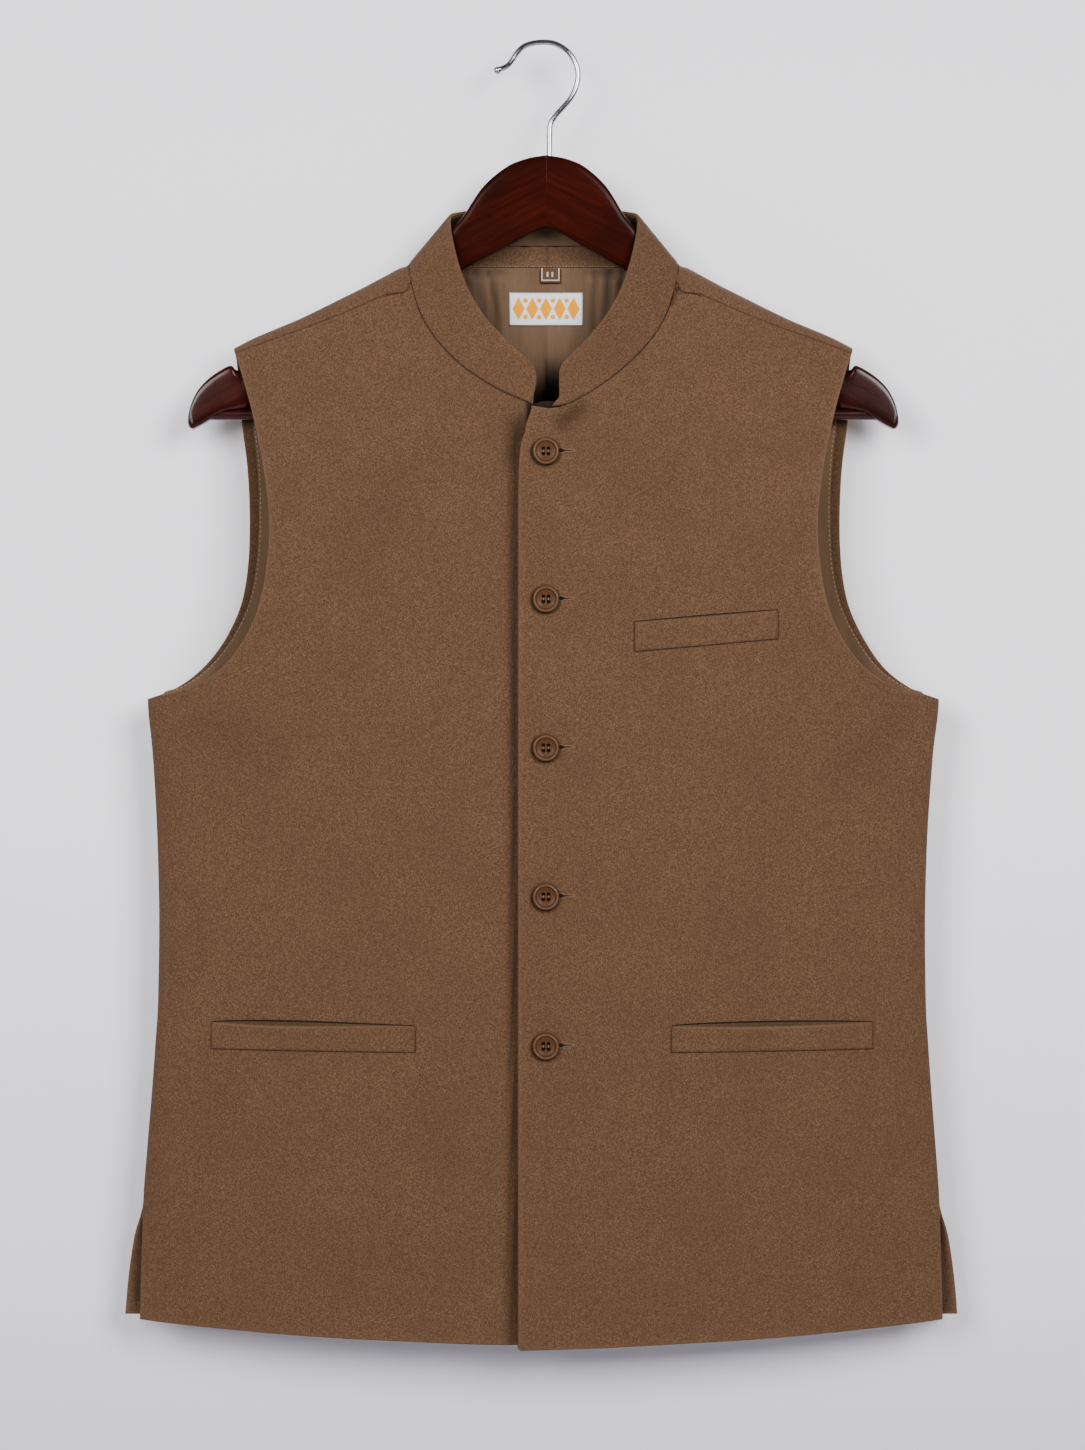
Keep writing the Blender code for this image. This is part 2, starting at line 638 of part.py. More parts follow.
for hand, front_normal in ((1, n_left), (-1, n_right)):
    # the neck seam of a front with the collar
    for k in range(neck_count):
        station = k if hand < 0 else collar.shape[1] - 1 - k
        shared = mitre(front_normal[0, neck_in + k], n_collar[0, station])
        front_normal[0, neck_in + k] = shared
        n_collar[0, station] = shared
    # the neck seam of the back with the collar
    for k in range(band_neck):
        station = places + (band_neck - 1 - k)
        if hand > 0:
            station = collar.shape[1] - 1 - station
        spot = middle + hand * k
        shared = mitre(n_back[0, spot], n_collar[0, station])
        if k == band_neck - 1:
            front_normal[0, corner] = shared
        n_back[0, spot] = shared
        n_collar[0, station] = shared
    # the shoulder seam
    for k in range(1, SHOULDER_STEPS + 1):
        spot = middle + hand * (band_neck - 1 + k)
        shared = mitre(front_normal[0, corner + k], n_back[0, spot])
        front_normal[0, corner + k] = shared
        n_back[0, spot] = shared
    # the side seam
    side_column = 0 if hand < 0 else back_all.shape[1] - 1
    first_front = len(ARMHOLE_STEPS) - 1
    first_back = 3 + len(BACK_ARMHOLE_STEPS) - 1
    for k in range(len(SIDE_SEAM_HEIGHTS)):
        shared = np.array([float(hand), 0.0, 0.0])
        front_normal[first_front + k, -1] = shared
        n_back[first_back + k, side_column] = shared

# ---------------------------------------------------------------- cloth
left_cut = draw_back(left_grid, rows=(1, 0))
right_cut = draw_back(right_grid, rows=(1, 0))
back_cut = draw_back(back_all, rows=(1, 0))
for grid, ways in ((left_cut, 1), (right_cut, -1)):
    # the side seams draw back from each other toward the front and the back
    top_row = len(ARMHOLE_STEPS) - 1
    grid[top_row:top_row + len(SIDE_SEAM_HEIGHTS), -1, 1] -= SEAM_HALF
for side_column in (0, -1):
    top_row = 3 + len(BACK_ARMHOLE_STEPS) - 1
    back_cut[top_row:top_row + len(SIDE_SEAM_HEIGHTS), side_column, 1] += SEAM_HALF
collar_cut = draw_back(collar, rows=(1, 0))

wall("front_left", left_cut, n_left, 0.0, WOOL_WALL, WOOL)
wall("front_right", right_cut, n_right, 0.0, WOOL_WALL, WOOL)
wall("back", back_cut, n_back, 0.0, WOOL_WALL, WOOL)
wall("collar", collar_cut, n_collar, 0.0, COLLAR_WALL, WOOL)


def between(grid, rows=None, columns=None):
    """Reads a grid at broken row and column numbers, straight between its points."""
    if rows is not None:
        rows = np.asarray(rows, float)
        low = np.clip(np.floor(rows).astype(int), 0, grid.shape[0] - 2)
        part = (rows - low)[:, None, None]
        grid = grid[low] * (1.0 - part) + grid[low + 1] * part
    if columns is not None:
        columns = np.asarray(columns, float)
        low = np.clip(np.floor(columns).astype(int), 0, grid.shape[1] - 2)
        part = (columns - low)[None, :, None]
        grid = grid[:, low] * (1.0 - part) + grid[:, low + 1] * part
    return grid


# the collar's lining stops short of the top edge and of both ends
rows = (0.10, 1.0, 2.0, 2.80)
columns = [0.6] + list(range(1, collar.shape[1] - 1)) + [collar.shape[1] - 1.6]
wall("collar_lining", between(collar_cut, rows, columns), between(n_collar, rows, columns),
     COLLAR_WALL + GAP, LINING_WALL, LINING)

# a wool strip faces the back of the neck, under the collar
facing_columns = range(middle - 5, middle + 6)
rows = (0.12, 1.0, 2.0, 2.96)
wall("back_neck_facing", between(back_cut, rows, facing_columns),
     between(n_back, rows, facing_columns), WOOL_WALL + GAP, FACING_WALL, WOOL)

# the back lining hangs from that strip, a little inside the armholes
last = back_cut.shape[0] - 1
rows = [3.04] + list(range(4, last)) + [last - 0.35]
columns = [0.26] + list(range(1, back_cut.shape[1] - 1)) + [back_cut.shape[1] - 1.26]
lining = between(back_cut, rows, columns)
lining_n = between(n_back, rows, columns)
lining_n = lining_n / np.sqrt((lining_n ** 2).sum(axis=-1, keepdims=True))
# it is cut back further where the armhole meets the side seam
for k, line in enumerate(rows):
    pull = 0.5 * max(0.0, 1.0 - abs(line - 3 - (len(BACK_ARMHOLE_STEPS) - 1)) / 3.5)
    lining[k, 0] += (lining[k, 1] - lining[k, 0]) * pull
    lining[k, -1] += (lining[k, -2] - lining[k, -1]) * pull
    lining_n[k, 0] += (lining_n[k, 1] - lining_n[k, 0]) * pull
    lining_n[k, -1] += (lining_n[k, -2] - lining_n[k, -1]) * pull
wall("back_lining", lining, lining_n, WOOL_WALL + GAP, LINING_WALL, LINING)


# ---------------------------------------------------------------- pockets
def welt(name, corners, hand, thick=1.4):
    """A folded strip over a pocket mouth, following the front under it."""
    a, b, c, d = [np.array(p, float) for p in corners]
    grid = []
    for v in np.linspace(0.0, 1.0, 4):
        line = []
        for u in np.linspace(0.0, 1.0, 13):
            out, height = (a * (1 - u) + b * u) * (1 - v) + (d * (1 - u) + c * u) * v
            across = hand * (out + 0.0)
            deep = float(front_deep(across, height, hand))
            line.append((across + float(shift_of(out, height)), deep, height))
        grid.append(line)
    grid = np.array(grid)
    ways = face_normals(grid) * (-1.0 if hand > 0 else 1.0)
    return wall(name, grid, ways, -(0.75 + thick), thick, WOOL)


welt("chest_welt", CHEST_WELT, 1)
welt("pocket_welt_left", POCKET_WELT_OUT, 1)
welt("pocket_welt_right", POCKET_WELT_OUT, -1)


# ---------------------------------------------------------------- labels
def patch_on_lining(name, bounds, near, thick, look):
    """A small woven piece lying on the inside of the back."""
    x0, x1, z0, z1 = bounds
    grid = []
    for height in np.linspace(z1, z0, 4):
        grid.append([(across, float(depth(across - 1.0, height, 1)), height)
                     for across in np.linspace(x0, x1, 6)])
    grid = np.array(grid)
    return wall(name, grid, face_normals(grid), near, thick, look)


patch_on_lining("brand_label", LABEL, WOOL_WALL + GAP + LINING_WALL + 0.9, 1.0, LABEL_CLOTH)
patch_on_lining("size_tab", SIZE_TAB, WOOL_WALL + GAP + FACING_WALL + 0.9, 1.0, TAB_CLOTH)


# ---------------------------------------------------------------- buttons
def button(name, height):
    """A dished four-hole button with a rolled rim, standing off the lapping front."""
    face = float(front_deep(BUTTON_X, height, 1)) - 0.9
    r = BUTTON_RADIUS
    t = BUTTON_THICK
    profile = ((r - 1.5, 0.0), (r - 0.3, 0.8), (r, 1.7), (r - 0.5, t - 0.4), (r - 1.3, t),
               (r - 2.2, t - 0.5), (r - 2.9, t - 1.2))
    turns = 24
    points = []
    for radius, out in profile:
        for k in range(turns):
            angle = 2.0 * math.pi * k / turns
            points.append((BUTTON_X + radius * math.cos(angle), face - out,
                           height + radius * math.sin(angle)))
    faces = []
    for i in range(len(profile) - 1):
        for k in range(turns):
            n = (k + 1) % turns
            faces.append((i * turns + k, i * turns + n, (i + 1) * turns + n, (i + 1) * turns + k))
    faces.append(tuple(range(turns - 1, -1, -1)))
    faces.append(tuple((len(profile) - 1) * turns + k for k in range(turns)))
    made = solid(name, points, faces, HORN)
    drills = []
    for dx in (-1, 1):
        for dz in (-1, 1):
            rings = []
            for deep in (face + 1.0, face - t - 1.0):
                rings.append([(BUTTON_X + dx * BUTTON_HOLE_STEP
                               + BUTTON_HOLE_RADIUS * math.cos(2.0 * math.pi * k / 8),
                               deep,
                               height + dz * BUTTON_HOLE_STEP
                               + BUTTON_HOLE_RADIUS * math.sin(2.0 * math.pi * k / 8))
                              for k in range(8)])
            drills.append(rings)
    points = []
    faces = []
    for rings in drills:
        base = len(points)
        points += rings[0] + rings[1]
        for k in range(8):
            n = (k + 1) % 8
            faces.append((base + k, base + n, base + 8 + n, base + 8 + k))
        faces.append(tuple(base + k for k in range(7, -1, -1)))
        faces.append(tuple(base + 8 + k for k in range(8)))
    drill = solid(name + "_drill", points, faces, HORN)
    cut = made.modifiers.new("holes", "BOOLEAN")
    cut.operation = "DIFFERENCE"
    cut.solver = "EXACT"
    cut.object = drill
    shaped = bpy.data.meshes.new_from_object(
        made.evaluated_get(bpy.context.evaluated_depsgraph_get()))
    made.modifiers.clear()
    made.data = shaped
    bpy.data.objects.remove(drill, do_unlink=True)
    return made


for number, height in enumerate(BUTTON_HEIGHTS, start=1):
    button("button_%d" % number, height)


# ---------------------------------------------------------------- hanger
def arm(name, hand):
    """One wooden arm from the mitre in the hub to its leaf-shaped, notched end."""
    rings = []
    for k, (out_a, high_a, out_b, high_b) in enumerate(ARM):
        a = np.array([out_a, high_a])
        b = np.array([out_b, high_b])
        centre = 0.5 * (a + b)
        half = 0.5 * (a - b)
        reach = centre[0]
        thick = ARM_HALF_THICK
        if k >= len(ARM) - 4:
            thick = ARM_HALF_THICK * (1.0, 0.97, 0.88, 0.66, 0.45)[k - len(ARM) + 5]
        ring = []
        for turn in range(14):
            angle = 2.0 * math.pi * turn / 14
            c = math.cos(angle)
            s = math.sin(angle)
            round_by = 0.72 + 0.25 * float(ease((reach - 20.0) / 45.0))
            along_height = math.copysign(abs(c) ** round_by, c)
            along_depth = math.copysign(abs(s) ** round_by, s)
            out, high = centre + half * along_height
            out = out + 0.12 * (1.0 if k == 0 else 0.0)
            slide = HUB_SHIFT * (1.0 - float(ease(reach / 60.0))) - 0.5 * float(ease(reach / 150.0))
            ring.append((hand * out + slide, thick * along_depth, high))
        rings.append(ring)
    return loft(name, rings, WOOD)


arm("hanger_arm_left", 1)
arm("hanger_arm_right", -1)


def tube(name, path, radii, look, sides=10):
    """A round rod along a line."""
    path = np.asarray(path, float)
    tangents = np.gradient(path, axis=0)
    tangents = tangents / np.sqrt((tangents ** 2).sum(axis=1, keepdims=True))
    across = np.array([0.0, 1.0, 0.0])
    rings = []
    for p, t, r in zip(path, tangents, radii):
        side = np.cross(t, across)
        side = side / np.sqrt((side ** 2).sum())
        rings.append([p + r * (math.cos(2.0 * math.pi * k / sides) * across
                               + math.sin(2.0 * math.pi * k / sides) * side)
                      for k in range(sides)])
    return loft(name, rings, look)


line = along(HOOK, np.linspace(0.0, 1.0, 40))
line = np.stack([line[:, 0], np.zeros(len(line)), line[:, 1]], axis=1)
end = line[-1] - line[-2]
end = end / np.sqrt((end ** 2).sum())
line = np.concatenate([line, [line[-1] + end * s for s in (1.2, 2.6, 3.9, 4.7)]])
radii = [WIRE_RADIUS] * 40 + [2.35, 2.6, 1.9, 0.8]
tube("hanger_hook", line, radii, CHROME)


def bar_ring(centre_out, hand):
    """The end of the bar, cut to lie against the sloping underside of the arm's end."""
    ring = []
    for k in range(12):
        angle = 2.0 * math.pi * k / 12
        high = BAR_HEIGHT + BAR_RADIUS * math.cos(angle)
        deep = BAR_RADIUS * math.sin(angle)
        out = centre_out - (high - BAR_HEIGHT) * 1.72
        ring.append((hand * out - 0.5, deep, high))
    return ring


loft("hanger_bar", [bar_ring(203.6, -1), bar_ring(196.0, -1), bar_ring(196.0, 1),
                    bar_ring(203.6, 1)], WOOD)
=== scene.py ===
# A sleeveless stand-collar jacket of felted wool on a wooden suit hanger, made
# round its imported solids. Tables are in millimetres; MM turns them into metres.
import math

import bmesh
import bpy
import mathutils
import numpy as np
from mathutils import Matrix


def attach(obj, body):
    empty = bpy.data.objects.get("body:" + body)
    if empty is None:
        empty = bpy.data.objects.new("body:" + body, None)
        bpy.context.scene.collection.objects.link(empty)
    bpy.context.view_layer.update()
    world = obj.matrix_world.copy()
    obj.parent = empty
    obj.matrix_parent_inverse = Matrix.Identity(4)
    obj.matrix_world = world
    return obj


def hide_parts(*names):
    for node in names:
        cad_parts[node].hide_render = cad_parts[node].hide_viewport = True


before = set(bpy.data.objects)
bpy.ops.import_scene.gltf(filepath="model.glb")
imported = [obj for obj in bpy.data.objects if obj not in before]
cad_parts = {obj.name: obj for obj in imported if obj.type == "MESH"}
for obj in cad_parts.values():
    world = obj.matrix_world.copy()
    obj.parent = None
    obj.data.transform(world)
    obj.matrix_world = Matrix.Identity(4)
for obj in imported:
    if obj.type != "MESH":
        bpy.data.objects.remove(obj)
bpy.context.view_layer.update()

# ---------------------------------------------------------------- the fronts
# Each front is one panel of felted melton, cut from the neck and shoulder to the
# hem, its edges turned and pressed soft. Inside it is faced with its own wool
# down the opening and round the arm, and lined with satin in between.
MM = 0.001
WOOL_THICK = 2.2
LAP_LIFT, LAP_DIP = 1.6, 1.5       # the upper front rises, and the lower one sinks
OVERLAP_EDGE, UNDERLAP_EDGE = -16.3, -18.0
OPENING_TOP = -233.4
CORNER_TURN, CORNER_DROP = 8.3, 17.0    # how far its corner is turned in, and over what drop
FOOT_TURN = 2.4
VENT_TOP = 734.0                   # below the top of the hook
SHOULDER_DEPTH = 11.4
FULL_DROP = 150.0                  # the fall over which the cloth reaches its full depth
FOLD_ROUND = 14.0                  # how far down the shoulder fold rounds over
RIDGE = (
    # out, height of the shoulder fold
    (0.0, -55.0), (30.0, -60.0), (55.0, -76.0), (72.0, -98.0), (80.0, -116.0),
    (84.0, -130.5), (86.0, -139.5), (93.0, -143.2), (105.0, -149.6),
    (117.0, -155.9), (130.0, -162.3), (156.0, -175.0), (186.0, -187.7),
    (197.3, -193.6), (225.0, -208.0), (260.0, -226.0))
FALL_FROM = (
    # out, height the cloth falls from
    (0.0, -44.0), (30.0, -54.0), (60.0, -76.0), (90.0, -104.0), (120.0, -135.0),
    (150.0, -163.0), (180.0, -186.0), (220.0, -208.0), (260.0, -226.0))
BODY = (
    # height, half width, front depth, back depth, sideways shift
    (-55.0, 252.0, 29.0, 27.0, -0.5), (-230.0, 252.0, 30.5, 27.0, -0.5),
    (-300.0, 252.0, 32.0, 27.5, -0.5), (-416.0, 251.8, 32.0, 26.5, -0.4),
    (-449.0, 248.6, 31.5, 26.0, -0.7), (-480.0, 246.4, 31.0, 25.5, -0.9),
    (-512.0, 244.8, 30.5, 25.0, -1.1), (-560.0, 243.8, 30.0, 24.0, -1.2),
    (-608.0, 244.4, 29.5, 23.5, -1.3), (-640.0, 246.3, 29.0, 23.0, -1.4),
    (-672.0, 248.6, 28.5, 23.0, -1.5), (-703.0, 251.1, 28.0, 23.0, -1.6),
    (-735.0, 253.4, 27.0, 23.5, -1.7), (-765.0, 254.3, 26.0, 24.5, -1.7),
    (-830.0, 255.8, 25.0, 25.5, -1.7))
BACK_FLARE = (
    # below the hook, how much wider the back stands in the vents
    (734.0, 0.0), (750.0, 4.3), (768.0, 7.6), (788.0, 10.0), (808.8, 11.4), (840.0, 13.0))
NECKLINE = (
    # place, seam out, seam height, collar top out, top deep, top height
    (0.0, 7.8, -230.8, 7.7, -26.2, -213.5), (1.0, 10.0, -230.2, 8.6, -24.6, -206.6),
    (2.0, 13.8, -228.9, 11.6, -23.2, -201.9), (3.0, 19.5, -226.6, 17.0, -22.0, -197.0),
    (4.0, 29.5, -221.8, 23.6, -21.0, -190.6), (5.0, 41.8, -214.5, 32.0, -20.2, -181.6),
    (6.0, 52.6, -206.0, 39.8, -19.4, -171.5), (7.0, 62.2, -196.6, 46.0, -18.6, -160.9),
    (8.0, 70.4, -186.4, 50.6, -17.6, -150.4), (9.0, 76.4, -176.4, 54.0, -16.4, -140.2),
    (10.0, 80.9, -165.0, 56.8, -14.2, -129.6), (11.0, 84.0, -153.4, 59.0, -10.4, -119.0),
    (12.0, 85.6, -140.6, 60.3, -2.2, -109.6), (13.0, 83.6, -134.6, 59.6, 3.0, -106.8),
    (14.0, 77.6, -130.6, 56.4, 6.8, -105.0), (15.0, 65.0, -127.8, 49.4, 10.8, -103.8),
    (16.0, 44.0, -126.1, 36.0, 13.0, -101.4), (17.0, 22.0, -125.5, 18.5, 13.8, -99.0),
    (18.0, 0.0, -125.4, 0.0, 14.0, -98.2))
FRONT_STATIONS = (0.0, 0.8, 1.8, 3.0, 4.2, 5.6, 7.0, 8.4, 9.7, 11.0)
SHOULDER_SEAM = (
    (84.0, -153.4), (113.0, -166.0), (146.0, -179.2), (172.0, -188.4), (195.4, -197.2))
SHOULDER_PLACES = np.linspace(0.0, 1.0, 7)
FRONT_ARMHOLE = (
    (195.4, -197.2), (193.6, -203.0), (189.0, -217.6), (183.2, -240.2), (177.6, -266.5),
    (174.3, -282.4), (172.9, -301.8), (173.9, -324.0), (177.4, -350.0),
    (183.4, -368.3), (192.5, -384.3), (203.0, -396.6), (216.0, -406.0),
    (230.0, -411.4), (242.0, -414.5), (251.8, -416.2))
ARMHOLE_STEPS = (0.0, 0.05, 0.15, 0.28, 0.42, 0.54, 0.64, 0.72, 0.79, 0.86, 0.93, 1.0)
SIDE_SEAM_HEIGHTS = (-450.0, -492.0, -540.0, -592.0, -642.0, -690.0, -734.0)
FRONT_VENT = ((254.2, -758.0), (254.9, -784.0), (255.5, -810.6))
FRONT_CREASES = (
    # hand, from across, height, to across, height, half width, depth
    (-1, -17.0, -205.0, -17.0, -880.0, 4.6, 2.3), (1, -16.3, -205.0, -16.3, -880.0, 4.5, -0.7),
    (1, 30.0, -229.0, 5.0, -247.0, 6.0, 1.9), (1, 44.0, -246.0, 92.0, -300.0, 20.0, 0.45),
    (1, 236.0, -424.0, 176.0, -470.0, 17.0, 0.7), (1, 208.0, -600.0, 176.0, -560.0, 12.0, 0.35),
    (1, 211.5, -633.0, 216.5, -642.0, 2.4, 0.5), (1, 86.0, -646.0, 66.0, -716.0, 15.0, 0.5),
    (-1, -19.0, -234.0, -24.0, -276.0, 6.0, 1.3), (-1, -60.0, -250.0, -120.0, -322.0, 22.0, 0.5),
    (-1, -230.0, -428.0, -160.0, -464.0, 18.0, 0.65),
    (-1, -211.5, -633.0, -216.5, -642.0, 2.4, 0.5),
    (-1, -84.0, -646.0, -58.0, -726.0, 16.0, 0.5),
    (-1, -204.0, -650.0, -216.0, -740.0, 15.0, 0.45))
SEAM_LINES = [0.0, 0.004, 0.01, 0.02, 0.033, 0.05, 0.075, 0.12, 0.2, 0.3, 0.45, 0.65, 0.85]
HEM_LINES = [0.0, 0.002, 0.006, 0.012, 0.02, 0.03, 0.045, 0.08, 0.15, 0.25, 0.4, 0.6, 0.8]
OPENING_LINES = [0.0, 0.004, 0.01, 0.02, 0.035, 0.055, 0.08, 0.12, 0.18, 0.27, 0.4, 0.6, 0.8]
SIDE_LINES = [0.0, 0.0005, 0.002, 0.006, 0.013, 0.025, 0.04, 0.07, 0.12, 0.2, 0.3, 0.42,
              0.57, 0.78]


def between_ends(t, start, end, leave, arrive):
    """A smooth way from one value to the next, with the slopes it leaves and arrives at."""
    return ((1.0 + 2.0 * t) * (1.0 - t) ** 2 * start + t * (1.0 - t) ** 2 * leave
            + t * t * (3.0 - 2.0 * t) * end + t * t * (t - 1.0) * arrive)


def step_at(places, at):
    """Which step of a row of places each value falls in, and how far along it."""
    step = np.diff(places)
    at = np.clip(np.asarray(at, float), places[0], places[-1])
    k = np.clip(np.searchsorted(places, at, side="right") - 1, 0, len(step) - 1)
    return k, (at - places[k]) / step[k], step


def read_off(table, at, name=1):
    """One column of a table, read at any place along its first column."""
    places, values = (np.array([row[k] for row in table], float) for k in (0, name))
    if places[0] > places[-1]:
        places, values = places[::-1], values[::-1]
    k, t, step = step_at(places, at)
    rise = np.diff(values) / step
    slope = np.concatenate((rise[:1], np.zeros(len(rise) - 1), rise[-1:]))
    for i in range(1, len(rise)):
        if rise[i - 1] * rise[i] > 0.0:
            near, far = 2.0 * step[i] + step[i - 1], step[i] + 2.0 * step[i - 1]
            slope[i] = (near + far) / (near / rise[i - 1] + far / rise[i])
    return between_ends(t, values[k], values[k + 1], step[k] * slope[k], step[k] * slope[k + 1])


def run(points):
    """How far along a line each of its points is, from 0 to 1."""
    steps = np.sqrt((np.diff(np.asarray(points, float), axis=0) ** 2).sum(axis=1))
    total = np.concatenate(([0.0], np.cumsum(steps)))
    return total / total[-1]


def along(points, places):
    """Points at the given shares of the length of a smooth line."""
    p = np.asarray(points, float)
    k, t, step = step_at(run(p), places)
    rise = np.diff(p, axis=0) / step[:, None]
    before, after = step[:-1, None], step[1:, None]
    middle = (rise[1:] * before + rise[:-1] * after) / (before + after)
    slope = np.concatenate((rise[:1], middle, rise[-1:]))
    t, h = t[:, None], step[k][:, None]
    return between_ends(t, p[k], p[k + 1], h * slope[k], h * slope[k + 1])


def ease(value):
    value = np.clip(value, 0.0, 1.0)
    return value * value * (3.0 - 2.0 * value)


def past(value, start, over):
    """Eases from 0 to 1 as a value passes the start, over a given distance."""
    return ease((value - start) / over)


def hump(off, wide):
    """1 at the middle of a soft hump, less and less beside it."""
    return np.exp(-(off / wide) ** 2)


def over_zero(value):
    return np.clip(value, 0.0, None)


def unit(ways):
    return ways / np.maximum(np.sqrt((ways ** 2).sum(axis=-1, keepdims=True)), 1e-9)


def shift_of(out, height):
    """The body hangs a little to one side lower down."""
    return read_off(BODY, height, 4) * np.clip(np.abs(out) / 240.0, 0.0, 1.0)


def depth(out, height, side):
    """How far the cloth stands from the plane of the hanger; side -1 front, 1 back."""
    out = np.abs(np.asarray(out, float))
    height = np.asarray(height, float)
    vent = past(-height, VENT_TOP, 50.0)
    # in the vents the edges stand off the plane, and the cloth turns to them more sharply
    if side < 0:
        full, rest, turn, wider = read_off(BODY, height, 2), 3.4, 0.32, 0.6 * vent
    else:
        full, rest, turn = read_off(BODY, height, 3), 8.5, 0.38
        wider = np.interp(-height, *zip(*BACK_FLARE))
    rest = rest * vent
    share = np.clip(out / (read_off(BODY, height, 1) + wider), 0.0, 1.0)
    body = rest + (full - rest) * np.clip(1.0 - share ** 2.5, 0.0, 1.0) ** (0.5 + turn * vent)
    fallen = over_zero(read_off(FALL_FROM, out) - height)
    grown = SHOULDER_DEPTH + (body - SHOULDER_DEPTH) * ease(fallen / FULL_DROP)
    grown = np.where(body < SHOULDER_DEPTH, np.minimum(body, grown), grown)
    below = np.clip((read_off(RIDGE, out) - height) / FOLD_ROUND, 0.0, 1.0)
    deep = grown * np.sqrt(np.clip(1.0 - (1.0 - below) ** 2, 0.0, 1.0))
    # long soft folds: two down the back with a hollow between, and two low on the fronts
    if side > 0:
        fall = past(-height, 330.0, 260.0)
        deep = deep + 1.6 * fall * hump(out - 118.0 - 8.0 * fall, 26.0) - fall * hump(out, 30.0)
    else:
        low = past(-height, 560.0, 200.0)
        deep = deep + 1.1 * low * hump(out - 150.0, 34.0) - 0.9 * low * hump(out - 82.0, 26.0)
    return side * deep


def creased(table, hand, across, height):
    """How deep the soft creases of a table lie at each point; hand 0 takes them all."""
    total = np.zeros(np.broadcast(across, height).shape)
    for side, x0, z0, x1, z1, wide, deep in table:
        if side == hand or not hand:
            dx, dz = x1 - x0, z1 - z0
            t = np.clip(((across - x0) * dx + (height - z0) * dz) / (dx * dx + dz * dz), 0.0, 1.0)
            off = np.hypot(across - x0 - t * dx, height - z0 - t * dz)
            total = total + deep * hump(off, wide) * (1.0 - (2.0 * t - 1.0) ** 4)
    return total


def crease_shade(table, hand, grid):
    """The shade painted into the troughs of the creases."""
    return 0.33 * np.clip(creased(table, hand, grid[..., 0], grid[..., 2]), 0.0, 2.2) ** 1.5


def front_deep(across, height, hand):
    """The face of a front; hand 1 laps over, hand -1 lies under."""
    deep = depth(across, height, -1)
    if hand > 0:
        return deep - LAP_LIFT * (1.0 - past(across, 30.0, 50.0))
    return deep + LAP_DIP * past(across, -42.0, 24.0)


def on_front(hand, out, height):
    """Points on the face of a front."""
    across = hand * out
    deep = front_deep(across, height, hand) + creased(FRONT_CREASES, hand, across, height)
    return np.stack([across + shift_of(out, height), deep, height], axis=-1)


def seam_point(place, hand):
    """A point of the neck seam, out to one hand from the middle of the collar."""
    out, height = read_off(NECKLINE, place, 1), read_off(NECKLINE, place, 2)
    if hand > 0 and place < 11.0:
        height = height - 2.2 * (1.0 - ease(out / 50.0))
    return float(hand * out + 2.0 * (1.0 - ease(out / 70.0))), float(height)


def patch(top, bottom, left, right):
    """Fills a four-sided panel from its edges, rows running from top to bottom."""
    u = (0.5 * (run(top) + run(bottom)))[None, :, None]
    v = (0.5 * (run(left) + run(right)))[:, None, None]
    top, bottom, left, right = (np.asarray(edge, float) for edge in (top, bottom, left, right))
    flat = (1.0 - v) * top + v * bottom + (1.0 - u) * left[:, None] + u * right[:, None]
    return flat - ((1.0 - u) * (1.0 - v) * top[0] + u * (1.0 - v) * top[-1]
                   + (1.0 - u) * v * bottom[0] + u * v * bottom[-1])


def side_edge(armhole, steps, vent):
    """The armhole, the side seam and the vent, from the shoulder to the hem."""
    seam = [(float(read_off(BODY, height, 1)), height) for height in SIDE_SEAM_HEIGHTS]
    return [tuple(p) for p in along(armhole, steps)] + seam + list(vent)


def middle_edge(out, top, foot, right, level):
    """The edge down the middle; `level` is how far its rows keep level with the side's."""
    heights = np.array([height for _, height in right])
    like_side = (heights[0] - heights) / (heights[0] - heights[-1])
    share = level * like_side + (1.0 - level) * np.linspace(0.0, 1.0, len(right))
    return [tuple(top)] + [(out, top[1] + (foot - top[1]) * s) for s in share[1:]]


def hem_edge(start, end, spread, sag):
    """A hem from the middle to the side, which sags a little on its way."""
    spread = 0.25 * spread + 0.75 * np.sin(spread * math.pi / 2.0) ** 1.05
    hem = np.outer(1.0 - spread, start) + np.outer(spread, end)
    hem[:, 1] -= sag * 4.0 * spread * (1.0 - spread)
    return hem


def between(points, lines, breaks=()):
    """Reads rows at broken row numbers on a smooth curve, with a corner at each break."""
    p = np.asarray(points, float)
    lines = np.asarray(lines, float)
    k = np.clip(np.floor(lines + 1e-9).astype(int), 0, len(p) - 2)
    t = (lines - k).reshape((-1,) + (1,) * (p.ndim - 1))
    step = np.diff(p, axis=0)
    ahead, behind = np.concatenate([step, step[-1:]]), np.concatenate([step[:1], step])
    middle = 0.5 * (ahead + behind)
    leave, arrive = middle.copy(), middle.copy()
    for b in (0, len(p) - 1, *breaks):
        leave[b], arrive[b] = ahead[b], behind[b]
    return between_ends(t, p[k], p[k + 1], leave[k], arrive[k + 1])


def refine(grid, rows, columns, row_breaks=(), column_breaks=()):
    """A finer copy of a panel's points, read at broken rows and columns."""
    finer = between(grid, rows, row_breaks)
    return between(finer.swapaxes(0, 1), columns, column_breaks).swapaxes(0, 1)


def lines_between(first, last, parts):
    """Broken row numbers from one row to another, each step cut in equal parts."""
    return list(np.linspace(first, last, int(round((last - first) * parts)) + 1))


def back_from(last, lines):
    """The same crowding of lines, counted back from the last one."""
    return [last - x for x in lines[::-1]]


def face_normals(grid):
    """The way out of the cloth at each point of a panel."""
    return unit(np.cross(np.gradient(grid, axis=1), np.gradient(grid, axis=0)))


